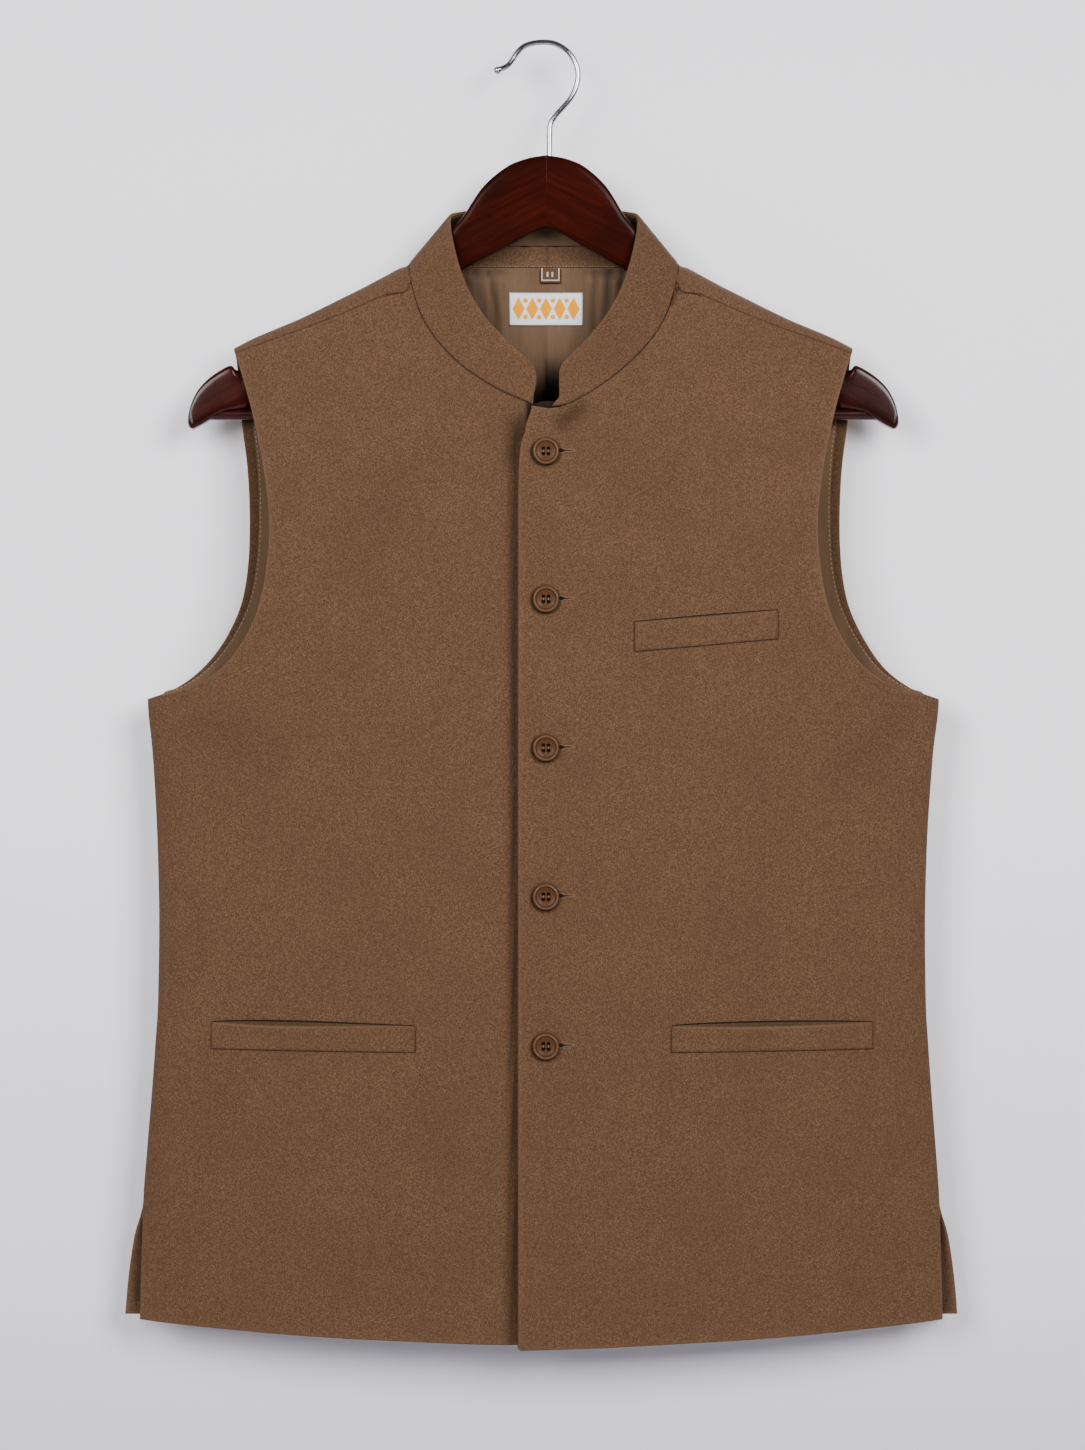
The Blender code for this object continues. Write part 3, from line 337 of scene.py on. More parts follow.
def ways_under_arm(ways, grid, rows, from_side, underarm, side):
    """Near the foot of an armhole the rows run along its edge, so the way out of the
    cloth is taken from the slope of the body's form there."""
    x, z = grid[..., 0], grid[..., 2]
    east = depth(x + 0.4, z, side) - depth(x - 0.4, z, side)
    north = depth(x, z + 0.4, side) - depth(x, z - 0.4, side)
    way = unit(side * np.stack([-east, np.full(x.shape, 0.8), -north], axis=-1))
    rows = np.array(rows)
    share = np.outer(past(rows, underarm - 4.0, 1.5) * (rows < underarm - 0.01),
                     1.0 - past(from_side, 1.5, 1.5))[..., None]
    return unit(ways * (1.0 - share) + way * share)


def edge_reach(grid):
    """How far each point of a panel is from the nearest edge."""
    across = np.sqrt((np.diff(grid, axis=1) ** 2).sum(axis=-1))
    down = np.sqrt((np.diff(grid, axis=0) ** 2).sum(axis=-1))
    left = np.pad(np.cumsum(across, axis=1), ((0, 0), (1, 0)))
    top = np.pad(np.cumsum(down, axis=0), ((1, 0), (0, 0)))
    return np.minimum(np.minimum(left, left[:, -1:] - left), np.minimum(top, top[-1:] - top))


def mesh_piece(name, points, faces, looks, kinds=None, marks=None):
    """A smooth mesh in metres, with a material for each face and a mark for each point."""
    mesh = bpy.data.meshes.new(name)
    mesh.from_pydata((np.asarray(points, float) * MM).tolist(), [], faces)
    for look in looks:
        mesh.materials.append(look)
    if kinds is not None:
        mesh.polygons.foreach_set("material_index", np.asarray(kinds, np.int32))
    for mark, values in (marks or {}).items():
        layer = mesh.attributes.new(mark, "FLOAT", "POINT")
        layer.data.foreach_set("value", np.asarray(values, np.float32))
    mesh.polygons.foreach_set("use_smooth", np.ones(len(mesh.polygons), bool))
    mesh.update()
    piece = bpy.data.objects.new(name, mesh)
    bpy.context.scene.collection.objects.link(piece)
    return piece


def quads(points):
    """Faces between a grid of point numbers, as corners in turn."""
    return np.stack([points[:-1, :-1], points[:-1, 1:], points[1:, 1:], points[1:, :-1]],
                    axis=-1).reshape(-1, 4)


NOT_SEWN = 99.0


def from_seams(grid, sewn):
    """How far each point of a panel is from the seams among its edges."""
    near = np.full(grid.shape[:2], NOT_SEWN)
    for edge, points in sewn.items():
        axis = 0 if edge in ("top", "bottom") else 1
        turned = np.flip(grid, axis) if edge in ("bottom", "right") else grid
        far = np.cumsum(np.sqrt((np.diff(turned, axis=axis) ** 2).sum(axis=-1)), axis=axis)
        far = np.pad(far, ((1, 0), (0, 0)) if axis == 0 else ((0, 0), (1, 0)))
        far = np.flip(far, axis) if edge in ("bottom", "right") else far
        mask = np.expand_dims(np.asarray(points), axis)
        near = np.minimum(near, np.where(mask, far, NOT_SEWN))
    return near


def cloth(name, grid, normals, near, thick, looks, inside=None, sewn=None, hollow=0.0,
          shade=0.0, painted_edge_tone=0.0, within=0.0):
    """A shell of cloth whose edges roll over softly. `near` is how far its face lies
    in, `sewn` says which points of which edges are seams, `hollow` thins its back,
    `shade` is painted shade on both its faces and `within` on its inner face, and
    the edge tone given last adds painted light to the paling of its scuffed edges."""
    rows, columns = grid.shape[:2]
    reach = edge_reach(grid)
    half = 0.5 * thick
    share = np.clip(1.0 - reach / half, 0.0, 1.0)
    sink = (half * (1.0 - np.sqrt(np.clip(1.0 - share ** 2, 0.0, 1.0))))[..., None]
    outer = grid - normals * (near + sink)
    inner = grid - normals * (near + thick - sink - np.asarray(hollow)[..., None])
    here = np.arange(rows * columns).reshape(rows, columns)
    behind = here.copy()
    behind[1:-1, 1:-1] = here.size + np.arange((rows - 2) * (columns - 2)).reshape(rows - 2, -1)
    points = np.concatenate([outer.reshape(-1, 3), inner[1:-1, 1:-1].reshape(-1, 3)])
    front = quads(here)
    faces = np.concatenate([front, quads(behind)[:, [0, 3, 2, 1]]])
    i, j = rows // 2, columns // 2
    probe = np.cross(grid[i, j] - grid[i, j - 1], grid[i, j] - grid[i - 1, j])
    if float(np.dot(probe, normals[i, j])) < 0.0:
        faces = faces[:, ::-1]
    kinds = np.zeros(len(faces), int)
    if inside is not None:
        kinds[len(front):] = inside.reshape(-1)
    stitched = from_seams(grid, sewn or {})
    # the edge mark pales the scuffed edges and carries painted highlights; the seam mark darkens
    # the seams and carries painted shade
    wear_and_painted_light = np.clip(np.exp(-reach / 1.6) * (stitched > 3.0) + painted_edge_tone, 0.0, 2.0)
    dark = np.clip(hump(stitched, 0.8) + shade, 0.0, 1.6)
    marks = {mark: np.concatenate([values.reshape(-1), (values + more)[1:-1, 1:-1].reshape(-1)])
             for mark, values, more in (("edge", wear_and_painted_light, 0.0), ("seam", dark, within))}
    return mesh_piece(name, points, faces.tolist(), looks, kinds, marks)


def feed(tree, socket, value):
    """Links a socket to what feeds it, or sets it to a number or colour."""
    if isinstance(value, bpy.types.NodeSocket):
        tree.links.new(value, socket)
    elif value is not None:
        socket.default_value = value


def add(tree, kind, values=None, **settings):
    """A node of a look, with its settings, its numbers and what feeds it."""
    made = tree.nodes.new(kind)
    for name, value in settings.items():
        setattr(made, name, value)
    for name, value in (values or {}).items():
        feed(tree, made.inputs[name], value)
    return made


def look_of(name, rough, **constants):
    """A new look: its tree, its shader and the place it is read at."""
    made = bpy.data.materials.new(name)
    made.use_nodes = True
    tree = made.node_tree
    shader = tree.nodes["Principled BSDF"]
    for socket, value in (("Roughness", rough), *constants.items()):
        shader.inputs[socket.replace("_", " ")].default_value = value
    return made, tree, shader, add(tree, "ShaderNodeTexCoord").outputs["Object"]


def noise(tree, where, scale, detail=2.0, rough=0.5, bend=0.0):
    return add(tree, "ShaderNodeTexNoise", {"Vector": where, "Scale": scale, "Detail": detail,
                                            "Roughness": rough, "Distortion": bend}).outputs[0]


def stretched(tree, where, scale, turn=(0.0, 0.0, 0.0)):
    """Turns the place first, then counts so many waves a metre along each way."""
    return add(tree, "ShaderNodeMapping", {
        "Vector": where, "Scale": tuple(1.0 / s for s in scale), "Rotation": turn},
        vector_type="TEXTURE").outputs[0]


def tones(tree, factor, *stops):
    """A colour ramp through (place, colour) stops."""
    made = add(tree, "ShaderNodeValToRGB", {"Fac": factor})
    ramp = made.color_ramp
    while len(ramp.elements) < len(stops):
        ramp.elements.new(0.5)
    for element, (place, colour) in zip(ramp.elements, stops):
        element.position = place
        element.color = (*colour, 1.0)
    return made.outputs[0]


def mixed(tree, factor, first, second):
    made = add(tree, "ShaderNodeMix", data_type="RGBA")
    for socket, value in zip((made.inputs[0], made.inputs[6], made.inputs[7]),
                             (factor, first, second)):
        feed(tree, socket, (*value, 1.0) if isinstance(value, tuple) else value)
    return made.outputs[2]


def sums(tree, first, second, way="ADD"):
    made = add(tree, "ShaderNodeMath", operation=way)
    feed(tree, made.inputs[0], first)
    feed(tree, made.inputs[1], second)
    return made.outputs[0]


def weighed(tree, more, *parts):
    """Adds up several values, each times its weight, and one number more."""
    for value, weight in parts:
        share = sums(tree, value, weight, "MULTIPLY")
        more = share if more is None else sums(tree, share, more)
    return more


def spread_out(tree, value, low, high, most):
    """Turns the stretch of a value from low to high into 0 to `most`."""
    return add(tree, "ShaderNodeMapRange", {"Value": value, "From Min": low, "From Max": high,
                                            "To Max": most}).outputs[0]


def marked(tree, mark):
    return add(tree, "ShaderNodeAttribute", attribute_name=mark).outputs["Fac"]


def shaded(base, share):
    return tuple(share * c for c in base)


def raise_by(tree, shader, height, strength, far):
    bump = add(tree, "ShaderNodeBump", {"Height": height, "Strength": strength, "Distance": far})
    feed(tree, shader.inputs["Normal"], bump.outputs[0])


def felted(name, dark, base, light):
    """Melton: short felted fibres lying every way, matt, paler at edges scuffed by
    rubbing and at painted highlights, darker along its seams and where shade is painted.
    """
    made, tree, shader, where = look_of(name, 0.95, Sheen_Weight=0.05, Sheen_Roughness=0.5,
                                        Sheen_Tint=(0.72, 0.55, 0.40, 1.0), Specular_IOR_Level=0.15)
    fibres = None
    for number, lean in enumerate((0.35, 1.4, 2.45)):
        lying = stretched(tree, where, (800.0, 1100.0, 1900.0), (0.5 * number, lean, 0.0))
        stroke = noise(tree, lying, 1.0, 1.0, 0.5, 0.4)
        fibres = stroke if fibres is None else sums(tree, fibres, stroke, "MAXIMUM")
    pile = noise(tree, where, 2400.0, 1.0, 0.6, 0.6)
    cloud = noise(tree, where, 24.0, 4.0, 0.62)
    tone = weighed(tree, None, (fibres, 0.70), (pile, 0.30))
    colour = tones(tree, tone, (0.47, dark), (0.56, base), (0.66, light))
    colour = mixed(tree, spread_out(tree, cloud, 0.35, 0.68, 0.30), colour, shaded(base, 0.72))
    # the edge mark pales scuffed edges and painted highlights, and the seam mark darkens seams and
    # painted shade
    colour = mixed(tree, weighed(tree, None, (marked(tree, "edge"), 0.36)), colour, light)
    sewn = weighed(tree, None, (marked(tree, "seam"), 0.62))
    feed(tree, shader.inputs["Base Color"], mixed(tree, sewn, colour, shaded(base, 0.15)))
    feed(tree, shader.inputs["Roughness"], weighed(tree, 0.84, (pile, 0.16)))
    raise_by(tree, shader, tone, 0.6, 0.0008)
    return made


def satin(name, dark, light):
    """Lining satin: a fine upright rib, a soft gloss, slow streaks of tone, and darker
    where shade is painted into it.
    """
    made, tree, shader, where = look_of(name, 0.55, Sheen_Weight=0.03, Sheen_Roughness=0.4,
                                        Specular_IOR_Level=0.14)
    ribs = noise(tree, stretched(tree, where, (2600.0, 2600.0, 140.0)), 1.0, 2.0, 0.5)
    streaks = noise(tree, stretched(tree, where, (60.0, 60.0, 7.0)), 1.0, 3.0, 0.6)
    tone = weighed(tree, None, (ribs, 0.35), (streaks, 0.65))
    painted_satin_shade = weighed(tree, None, (marked(tree, "seam"), 0.62))
    colour = mixed(tree, painted_satin_shade, tones(tree, tone, (0.32, dark), (0.68, light)), shaded(dark, 0.06))
    feed(tree, shader.inputs["Base Color"], colour)
    feed(tree, shader.inputs["Roughness"], weighed(tree, 0.44, (ribs, 0.22)))
    raise_by(tree, shader, tone, 0.22, 0.0003)
    return made


WOOL = felted("brown_melton", (0.058, 0.0262, 0.0126), (0.0895, 0.0446, 0.0224),
              (0.147, 0.0830, 0.0440))
SATIN = satin("tan_satin", (0.084, 0.0468, 0.0243), (0.144, 0.0825, 0.0438))

FRONT_NECK, FRONT_CORNER = 4, 13   # the columns at both ends of the neck seam
FRONT_LAST = 19                    # the column down the side
FRONT_UNDERARM = 11                # the row at the foot of the armhole
FRONT_VENT_TOP, FRONT_HEM = 18, 21
FACING_WIDE = 7.0                  # how many columns the wool facing is wide
FRONT_ROWS = np.array(SEAM_LINES + lines_between(1, FRONT_UNDERARM, 5)
                      + lines_between(FRONT_UNDERARM, FRONT_VENT_TOP, 10)[1:]
                      + lines_between(FRONT_VENT_TOP, FRONT_HEM - 1, 5)[1:]
                      + back_from(FRONT_HEM, HEM_LINES))
FRONT_COLUMNS = np.array(OPENING_LINES + lines_between(1, FRONT_LAST - 1, 4)
                         + back_from(FRONT_LAST, SIDE_LINES))


def front_flat(hand):
    """A front laid out as distance out and height, from the neck down to the hem."""
    if hand > 0:
        top = [(-8.2, -232.3), (-5.0, -232.6), (-0.5, OPENING_TOP), (4.0, -233.8)]
        foot = (OVERLAP_EDGE, -826.8)
    else:
        top = [(UNDERLAP_EDGE, -236.0), (-12.0, -231.0), (-5.0, -229.2), (1.0, -229.4)]
        foot = (UNDERLAP_EDGE, -824.4)
    for place in FRONT_STATIONS:
        across, height = seam_point(place, hand)
        top.append((hand * across, height))
    top += [tuple(p) for p in along(SHOULDER_SEAM, SHOULDER_PLACES)[1:]]
    right = side_edge(FRONT_ARMHOLE, ARMHOLE_STEPS, FRONT_VENT)
    left = middle_edge(foot[0], top[0], foot[1], right, 0.62)
    spread = np.array([p[0] for p in top])
    spread = (spread - spread[0]) / (spread[-1] - spread[0])
    spread = 0.45 * spread + 0.55 * np.linspace(0.0, 1.0, len(top))
    return patch(top, hem_edge(foot, right[-1], spread, 2.6), left, right)


def to_side(out, height, rows, first, last, edge=-1):
    """Stretches rows by a hair so that their side edge keeps to the body's width."""
    inside = (rows >= first) & (rows <= last)
    wanted = read_off(BODY, height[:, edge], 1) / np.abs(out[:, edge])
    return out * np.where(inside, wanted, 1.0)[:, None]


def turned_in(height):
    """The soft curve in which the top corner of the opening is turned in."""
    return CORNER_TURN * np.exp(-(over_zero(OPENING_TOP - height) / CORNER_DROP) ** 1.4)


def front_panel(hand):
    """The face of a front, with its opening's top and foot turned in."""
    fine = refine(front_flat(hand), FRONT_ROWS, FRONT_COLUMNS, (FRONT_UNDERARM,),
                  (FRONT_CORNER,))
    height = fine[..., 1]
    out = to_side(fine[..., 0], height, FRONT_ROWS, FRONT_UNDERARM, FRONT_VENT_TOP)
    if hand > 0:
        fade = np.exp(-1.2 * FRONT_COLUMNS)[None, :]
        out = out + (OVERLAP_EDGE + turned_in(height[:, :1]) - out[:, :1]) * fade
        # the foot of the opening is turned in a small round corner
        a = np.clip(1.0 - (out - OVERLAP_EDGE) / FOOT_TURN, 0.0, 1.0)
        b = np.clip(1.0 - (height - height[-1:, :]) / FOOT_TURN, 0.0, 1.0)
        out = out + FOOT_TURN * (a - a * np.sqrt(1.0 - 0.5 * b * b)) * (b > 0.0)
        height = height + FOOT_TURN * (b - b * np.sqrt(1.0 - 0.5 * a * a)) * (a > 0.0)
    return on_front(hand, out, height)


# ---------------------------------------------------------------- the back
# One panel of the same melton with no seam down it, cut from the hem up over the
# shoulder fold to the shoulder seams, which lie a little way down the front. It
# flares in the two side vents, so that its hem is wider than the fronts'.
BACK_STATIONS = (11.0, 11.5, 12.0, 12.8, 13.7, 14.7, 15.8, 17.0, 18.0)
RIDGE_STATION = 12.0
BACK_ARMHOLE = (
    # out, height, behind the shoulder fold
    (197.3, -193.6), (196.0, -201.5), (194.6, -218.0), (193.1, -238.8), (190.9, -256.0),
    (189.2, -275.0), (188.5, -299.0), (189.4, -327.6), (192.3, -349.0),
    (197.6, -365.0), (205.5, -380.0), (217.0, -395.2), (230.0, -405.9),
    (241.5, -412.6), (247.6, -415.0), (251.8, -416.2))
BACK_ARMHOLE_STEPS = (0.0, 0.012, 0.032, 0.08, 0.18, 0.30, 0.42, 0.54, 0.64, 0.72, 0.79, 0.86,
                      0.93, 1.0)
BACK_VENT = ((259.8, -758.0), (263.8, -784.0), (266.0, -808.8))
BACK_FOOT = -815.0
FOLD_FROM, FOLD_TO = 89.0, 197.3   # how far out the shoulder fold runs
BAND_ROWS = 8              # rows from the neck and shoulder seams to the shoulder fold
BACK_UNDERARM = BAND_ROWS + len(BACK_ARMHOLE_STEPS) - 1
BACK_VENT_TOP = BACK_UNDERARM + len(SIDE_SEAM_HEIGHTS)
BACK_HEM = BACK_VENT_TOP + 3
BACK_MIDDLE, BACK_LAST = 14, 28    # the columns down the middle and down the left side
BACK_CORNERS = (6, 22)             # and those at both ends of the neck seam
BACK_ROWS = np.array([0.0, 0.02, 0.05, 0.1, 0.17, 0.26, 0.38, 0.52, 0.7, 0.85]
                     + lines_between(1, BAND_ROWS, 2) + lines_between(BAND_ROWS, 12, 3)[1:]
                     + lines_between(12, BACK_UNDERARM, 5)[1:]
                     + lines_between(BACK_UNDERARM, BACK_VENT_TOP, 10)[1:]
                     + lines_between(BACK_VENT_TOP, BACK_HEM - 1, 5)[1:]
                     + back_from(BACK_HEM, HEM_LINES))
BACK_COLUMNS = np.array(SIDE_LINES + lines_between(1, BACK_LAST - 1, 4)
                        + back_from(BACK_LAST, SIDE_LINES))
BACK_CREASES = (
    # 0, from across, height, to across, height, half width, depth
    (0, 228.0, -424.0, 168.0, -468.0, 17.0, 0.8), (0, -224.0, -428.0, -160.0, -476.0, 18.0, 0.75),
    (0, 60.0, -176.0, 108.0, -232.0, 18.0, 0.6), (0, -66.0, -178.0, -104.0, -244.0, 17.0, 0.55),
    (0, -28.0, -560.0, -48.0, -690.0, 18.0, 0.7), (0, 36.0, -590.0, 58.0, -722.0, 17.0, 0.6),
    (0, 200.0, -640.0, 214.0, -742.0, 15.0, 0.5))


def back_edges(hand):
    """The back's neck and shoulder seams, and the shoulder fold behind them."""
    edge = []
    for place in BACK_STATIONS[::-1]:
        across, height = seam_point(place, hand)
        edge.append((hand * across, height, 1 if place > RIDGE_STATION else -1))
    edge += [(out, height, -1) for out, height in along(SHOULDER_SEAM, SHOULDER_PLACES)[1:]]
    behind = sum(side > 0 for _, _, side in edge)
    fold = []
    for k, (out, height, _) in enumerate(edge):
        if k < behind:
            share = k / behind
            fold.append((out + 3.2 * share ** 2, height - 13.4 + 6.0 * share ** 3))
        else:
            share = (k - behind) / (len(edge) - 1 - behind)
            far = FOLD_FROM + (FOLD_TO - FOLD_FROM) * share
            fold.append((far, float(read_off(RIDGE, far))))
    return edge, fold


def back_band(edge, fold):
    """The strip from the seams over the shoulder fold, as out, deep and height."""
    grid = []
    for share in np.linspace(0.0, 1.0, BAND_ROWS + 1):
        line = []
        for (out, height, side), (fold_out, fold_height) in zip(edge, fold):
            at = out + (fold_out - out) * share
            if side > 0:
                level = height + (fold_height - height) * share
                deep = depth(at, level, 1)
            else:
                drop = (height - read_off(RIDGE, out)) * (1.0 - math.sin(share * math.pi / 2.0))
                level = float(read_off(RIDGE, at) - abs(drop))
                deep = depth(at, level, -1 if drop < 0.0 else 1) if share < 1.0 else 0.0
            line.append((at, float(deep), level))
        grid.append(line)
    return np.array(grid)


def back_main(fold):
    """The rest of half the back, from the shoulder fold down to the hem."""
    right = side_edge(BACK_ARMHOLE, BACK_ARMHOLE_STEPS, BACK_VENT)
    left = middle_edge(0.0, fold[0], BACK_FOOT, right, 0.93)
    bottom = hem_edge((0.0, BACK_FOOT), right[-1], np.linspace(0.0, 1.0, len(fold)), 0.9)
    flat = patch(fold, bottom, left, right)
    deep = depth(flat[..., 0], flat[..., 1], 1)
    deep[0, np.abs(flat[0, :, 1] - read_off(RIDGE, flat[0, :, 0])) < 1e-6] = 0.0
    return np.stack([flat[..., 0], deep, flat[..., 1]], axis=-1)


def back_coarse():
    """The whole back in broad steps, the wearer's right side first."""
    halves = []
    for hand in (1, -1):
        edge, fold = back_edges(hand)
        half = np.concatenate([back_band(edge, fold), back_main(fold)[1:]], axis=0)
        half[..., 0] *= hand
        halves.append(half)
    whole = np.concatenate([halves[1][:, :0:-1], halves[0]], axis=1)
    whole[:, BACK_MIDDLE, 0] = 0.5 * (halves[0][:, 0, 0] + halves[1][:, 0, 0])
    return whole


def back_panel(rows, columns, with_creases=True):
    """The back, or what lies against it, read at broken rows and columns."""
    fine = refine(back_coarse(), rows, columns, (BACK_UNDERARM,))
    rows = np.array(rows)
    across, height = fine[..., 0], fine[..., 2]
    middle = across.shape[1] // 2
    for half, edge, last in ((slice(0, middle), 0, 0), (slice(middle, None), -1, BACK_LAST)):
        if abs(columns[edge] - last) < 1e-9:
            across[:, half] = to_side(across[:, half], height, rows, BACK_UNDERARM,
                                      BACK_VENT_TOP, edge)
    # the left armhole sits a little further out than the right
    by_arm = past(-height, 205.0, 25.0) * past(height, -402.0, 25.0)
    across = across + 1.7 * by_arm * past(across, 110.0, 70.0)
    settled = past(rows, BAND_ROWS + 2.0, 4.0)[:, None]
    deep = fine[..., 1] * (1.0 - settled) + depth(across, height, 1) * settled
    if with_creases:
        deep = deep - creased(BACK_CREASES, 0, across, height) * settled
    return np.stack([across + shift_of(across, height), deep, height], axis=-1)


# ---------------------------------------------------------------- the collar
# A stand collar of the same melton, cut in one curved piece, stiffened with canvas
# and sewn to the neck seam. Its two ends meet under the throat, cut a little round.
COLLAR_THICK = 2.4
COLLAR_LAST = 34           # the column at the end on the wearer's left
COLLAR_CORNERS = (9, 25)   # the columns where the shoulder seams meet it
COLLAR_ENDS = [0.0, 0.03, 0.08, 0.15, 0.25, 0.38, 0.55, 0.76]
COLLAR_FOOT = [0.0, 0.01, 0.025, 0.05, 0.08, 0.12, 0.18, 0.27, 0.4, 0.6, 0.8]
COLLAR_TOP = [0.0, 0.003, 0.008, 0.016, 0.028, 0.045, 0.07, 0.1, 0.15, 0.24, 0.4, 0.6, 0.8]
COLLAR_COLUMNS = np.array(COLLAR_ENDS + lines_between(1, COLLAR_LAST - 1, 5)
                          + back_from(COLLAR_LAST, COLLAR_ENDS))
COLLAR_ROWS = np.array(COLLAR_FOOT + lines_between(1, 2, 5) + back_from(3, COLLAR_TOP))


def collar_coarse():
    """The collar from its foot on the neck seam up to its top edge."""
    places = list(FRONT_STATIONS[:-1]) + list(BACK_STATIONS)
    foot, top = [], []
    for hand, place in [(-1, p) for p in places] + [(1, p) for p in places[-2::-1]]:
        across, height = seam_point(place, hand)
        if place <= FRONT_STATIONS[-1]:
            deep = front_deep(across, height, hand)
        else:
            deep = depth(across, height, -1 if place <= RIDGE_STATION else 1)
        foot.append((across + float(shift_of(across, height)), float(deep), height))
        out, top_deep, top_height = (float(read_off(NECKLINE, place, k)) for k in (3, 4, 5))
        top.append((hand * out + 2.0 * (1.0 - float(ease(out / 60.0))), top_deep, top_height))
    foot, top = np.array(foot), np.array(top)
    return np.stack([foot + (top - foot) * share for share in (0.0, 1 / 3.0, 2 / 3.0, 1.0)])


collar_grid = refine(collar_coarse(), COLLAR_ROWS, COLLAR_COLUMNS)
# both ends curve to the wearer's right at the foot
for from_end, near_foot in (
        (COLLAR_COLUMNS, 3.5 * np.clip(1.0 - COLLAR_ROWS / 2.3, 0.0, 1.0) ** 1.5 - 0.7),
        (COLLAR_LAST - COLLAR_COLUMNS, 4.9 * (1.0 - ease(COLLAR_ROWS / 1.1)) ** 1.2 + 0.3)):
    collar_grid[..., 0] -= np.outer(near_foot, 1.0 - ease(from_end / 2.2))


# ------------------------------------------------ the four panels sewn together
# Where two panels are sewn, their walls are bent to one direction, so that the
# edges meet in a closed ditch as in a pressed seam. Each panel is then one shell
# of wool, laid in flat on its form, with shade painted into its own folds.
def bend_border(lines, border, there, ways_there, line, meets, onward, sewn):
    """Turns the sewn part of a panel's border halfway to the border it is sewn to. Its
    `line` meets the other's line `meets`, and so on from there, one by one."""
    at = meets + onward * (lines[sewn] - line)
    met = np.stack([np.interp(at, there, ways_there[:, k]) for k in range(3)], axis=1)
    both = unit(border[sewn] + met)
    border[sewn] = both / np.clip((both * border[sewn]).sum(axis=-1, keepdims=True), 0.72, 1.0)


left_grid = front_panel(1)
right_grid = front_panel(-1)
back_grid = back_panel(BACK_ROWS, BACK_COLUMNS)
from_side = np.minimum(BACK_COLUMNS, BACK_LAST - BACK_COLUMNS)
left_ways = ways_under_arm(-face_normals(left_grid), left_grid, FRONT_ROWS,
                           FRONT_LAST - FRONT_COLUMNS, FRONT_UNDERARM, -1)
right_ways = ways_under_arm(face_normals(right_grid), right_grid, FRONT_ROWS,
                            FRONT_LAST - FRONT_COLUMNS, FRONT_UNDERARM, -1)
back_ways = ways_under_arm(face_normals(back_grid), back_grid, BACK_ROWS, from_side,
                           BACK_UNDERARM, 1)
collar_ways = -face_normals(collar_grid)
neck = (FRONT_COLUMNS >= FRONT_NECK) & (FRONT_COLUMNS <= FRONT_CORNER)
shoulder = FRONT_COLUMNS > FRONT_CORNER
borders = {"left": (FRONT_COLUMNS, left_ways[0]), "right": (FRONT_COLUMNS, right_ways[0]),
           "back": (BACK_COLUMNS, back_ways[0]), "collar": (COLLAR_COLUMNS, collar_ways[0])}
unbent = {name: (lines, border.copy()) for name, (lines, border) in borders.items()}
back_right, back_left = BACK_COLUMNS < BACK_CORNERS[0], BACK_COLUMNS > BACK_CORNERS[1]
collar_right, collar_left = (COLLAR_COLUMNS < COLLAR_CORNERS[0],
                             COLLAR_COLUMNS > COLLAR_CORNERS[1])
for panel, sewn, line, other, meets, onward in (
        # the neck seam
        ("left", neck, FRONT_CORNER, "collar", COLLAR_CORNERS[1], -1),
        ("right", neck, FRONT_CORNER, "collar", COLLAR_CORNERS[0], 1),
        ("back", ~back_right & ~back_left, BACK_CORNERS[0], "collar", COLLAR_CORNERS[0], 1),
        ("collar", collar_right, COLLAR_CORNERS[0], "right", FRONT_CORNER, 1),
        ("collar", ~collar_right & ~collar_left, COLLAR_CORNERS[0], "back", BACK_CORNERS[0], 1),
        ("collar", collar_left, COLLAR_CORNERS[1], "left", FRONT_CORNER, -1),
        # the shoulder seams
        ("left", shoulder, FRONT_CORNER, "back", BACK_CORNERS[1], 1),
        ("right", shoulder, FRONT_CORNER, "back", BACK_CORNERS[0], -1),
        ("back", back_left, BACK_CORNERS[1], "left", FRONT_CORNER, 1),
        ("back", back_right, BACK_CORNERS[0], "right", FRONT_CORNER, -1)):
    bend_border(*borders[panel], *unbent[other], line, meets, onward, sewn)
# the side seams lie in the plane of the hanger
front_sides = (FRONT_ROWS >= FRONT_UNDERARM) & (FRONT_ROWS <= FRONT_VENT_TOP)
back_sides = (BACK_ROWS >= BACK_UNDERARM) & (BACK_ROWS <= BACK_VENT_TOP)
for ways, sides, edge, hand in ((left_ways, front_sides, -1, 1.0),
                                (right_ways, front_sides, -1, -1.0),
                                (back_ways, back_sides, -1, 1.0), (back_ways, back_sides, 0, -1.0)):
    ways[sides, edge] = (hand, 0.0, 0.0)

# the shoulder seams are pressed so flat that they hardly show, and the arm edges
# are painted paler; the lining of each front starts inside its wool facing
row, column = FRONT_ROWS[:, None], FRONT_COLUMNS[None, :]
flat_seam = -0.75 * (column > FRONT_CORNER + 0.02) * (row < 0.13)
pale_edge = 0.9 * (column > FRONT_LAST - 0.05) * (row < FRONT_UNDERARM)
faced = ((column < FACING_WIDE) | (row < 0.3) | (row > FRONT_HEM - 0.75)
         | ((column > FRONT_LAST - 0.8) & (row < FRONT_UNDERARM)))[:-1, :-1]
lined = np.where(faced, 0, 1)
front_sewn = {"top": FRONT_COLUMNS >= 3.6, "right": front_sides}
front_left = cloth("front_left_cloth", left_grid, left_ways, 0.0, WOOL_THICK, (WOOL, SATIN),
                   lined, front_sewn, painted_edge_tone=pale_edge,
                   shade=flat_seam + crease_shade(FRONT_CREASES, 1, left_grid))

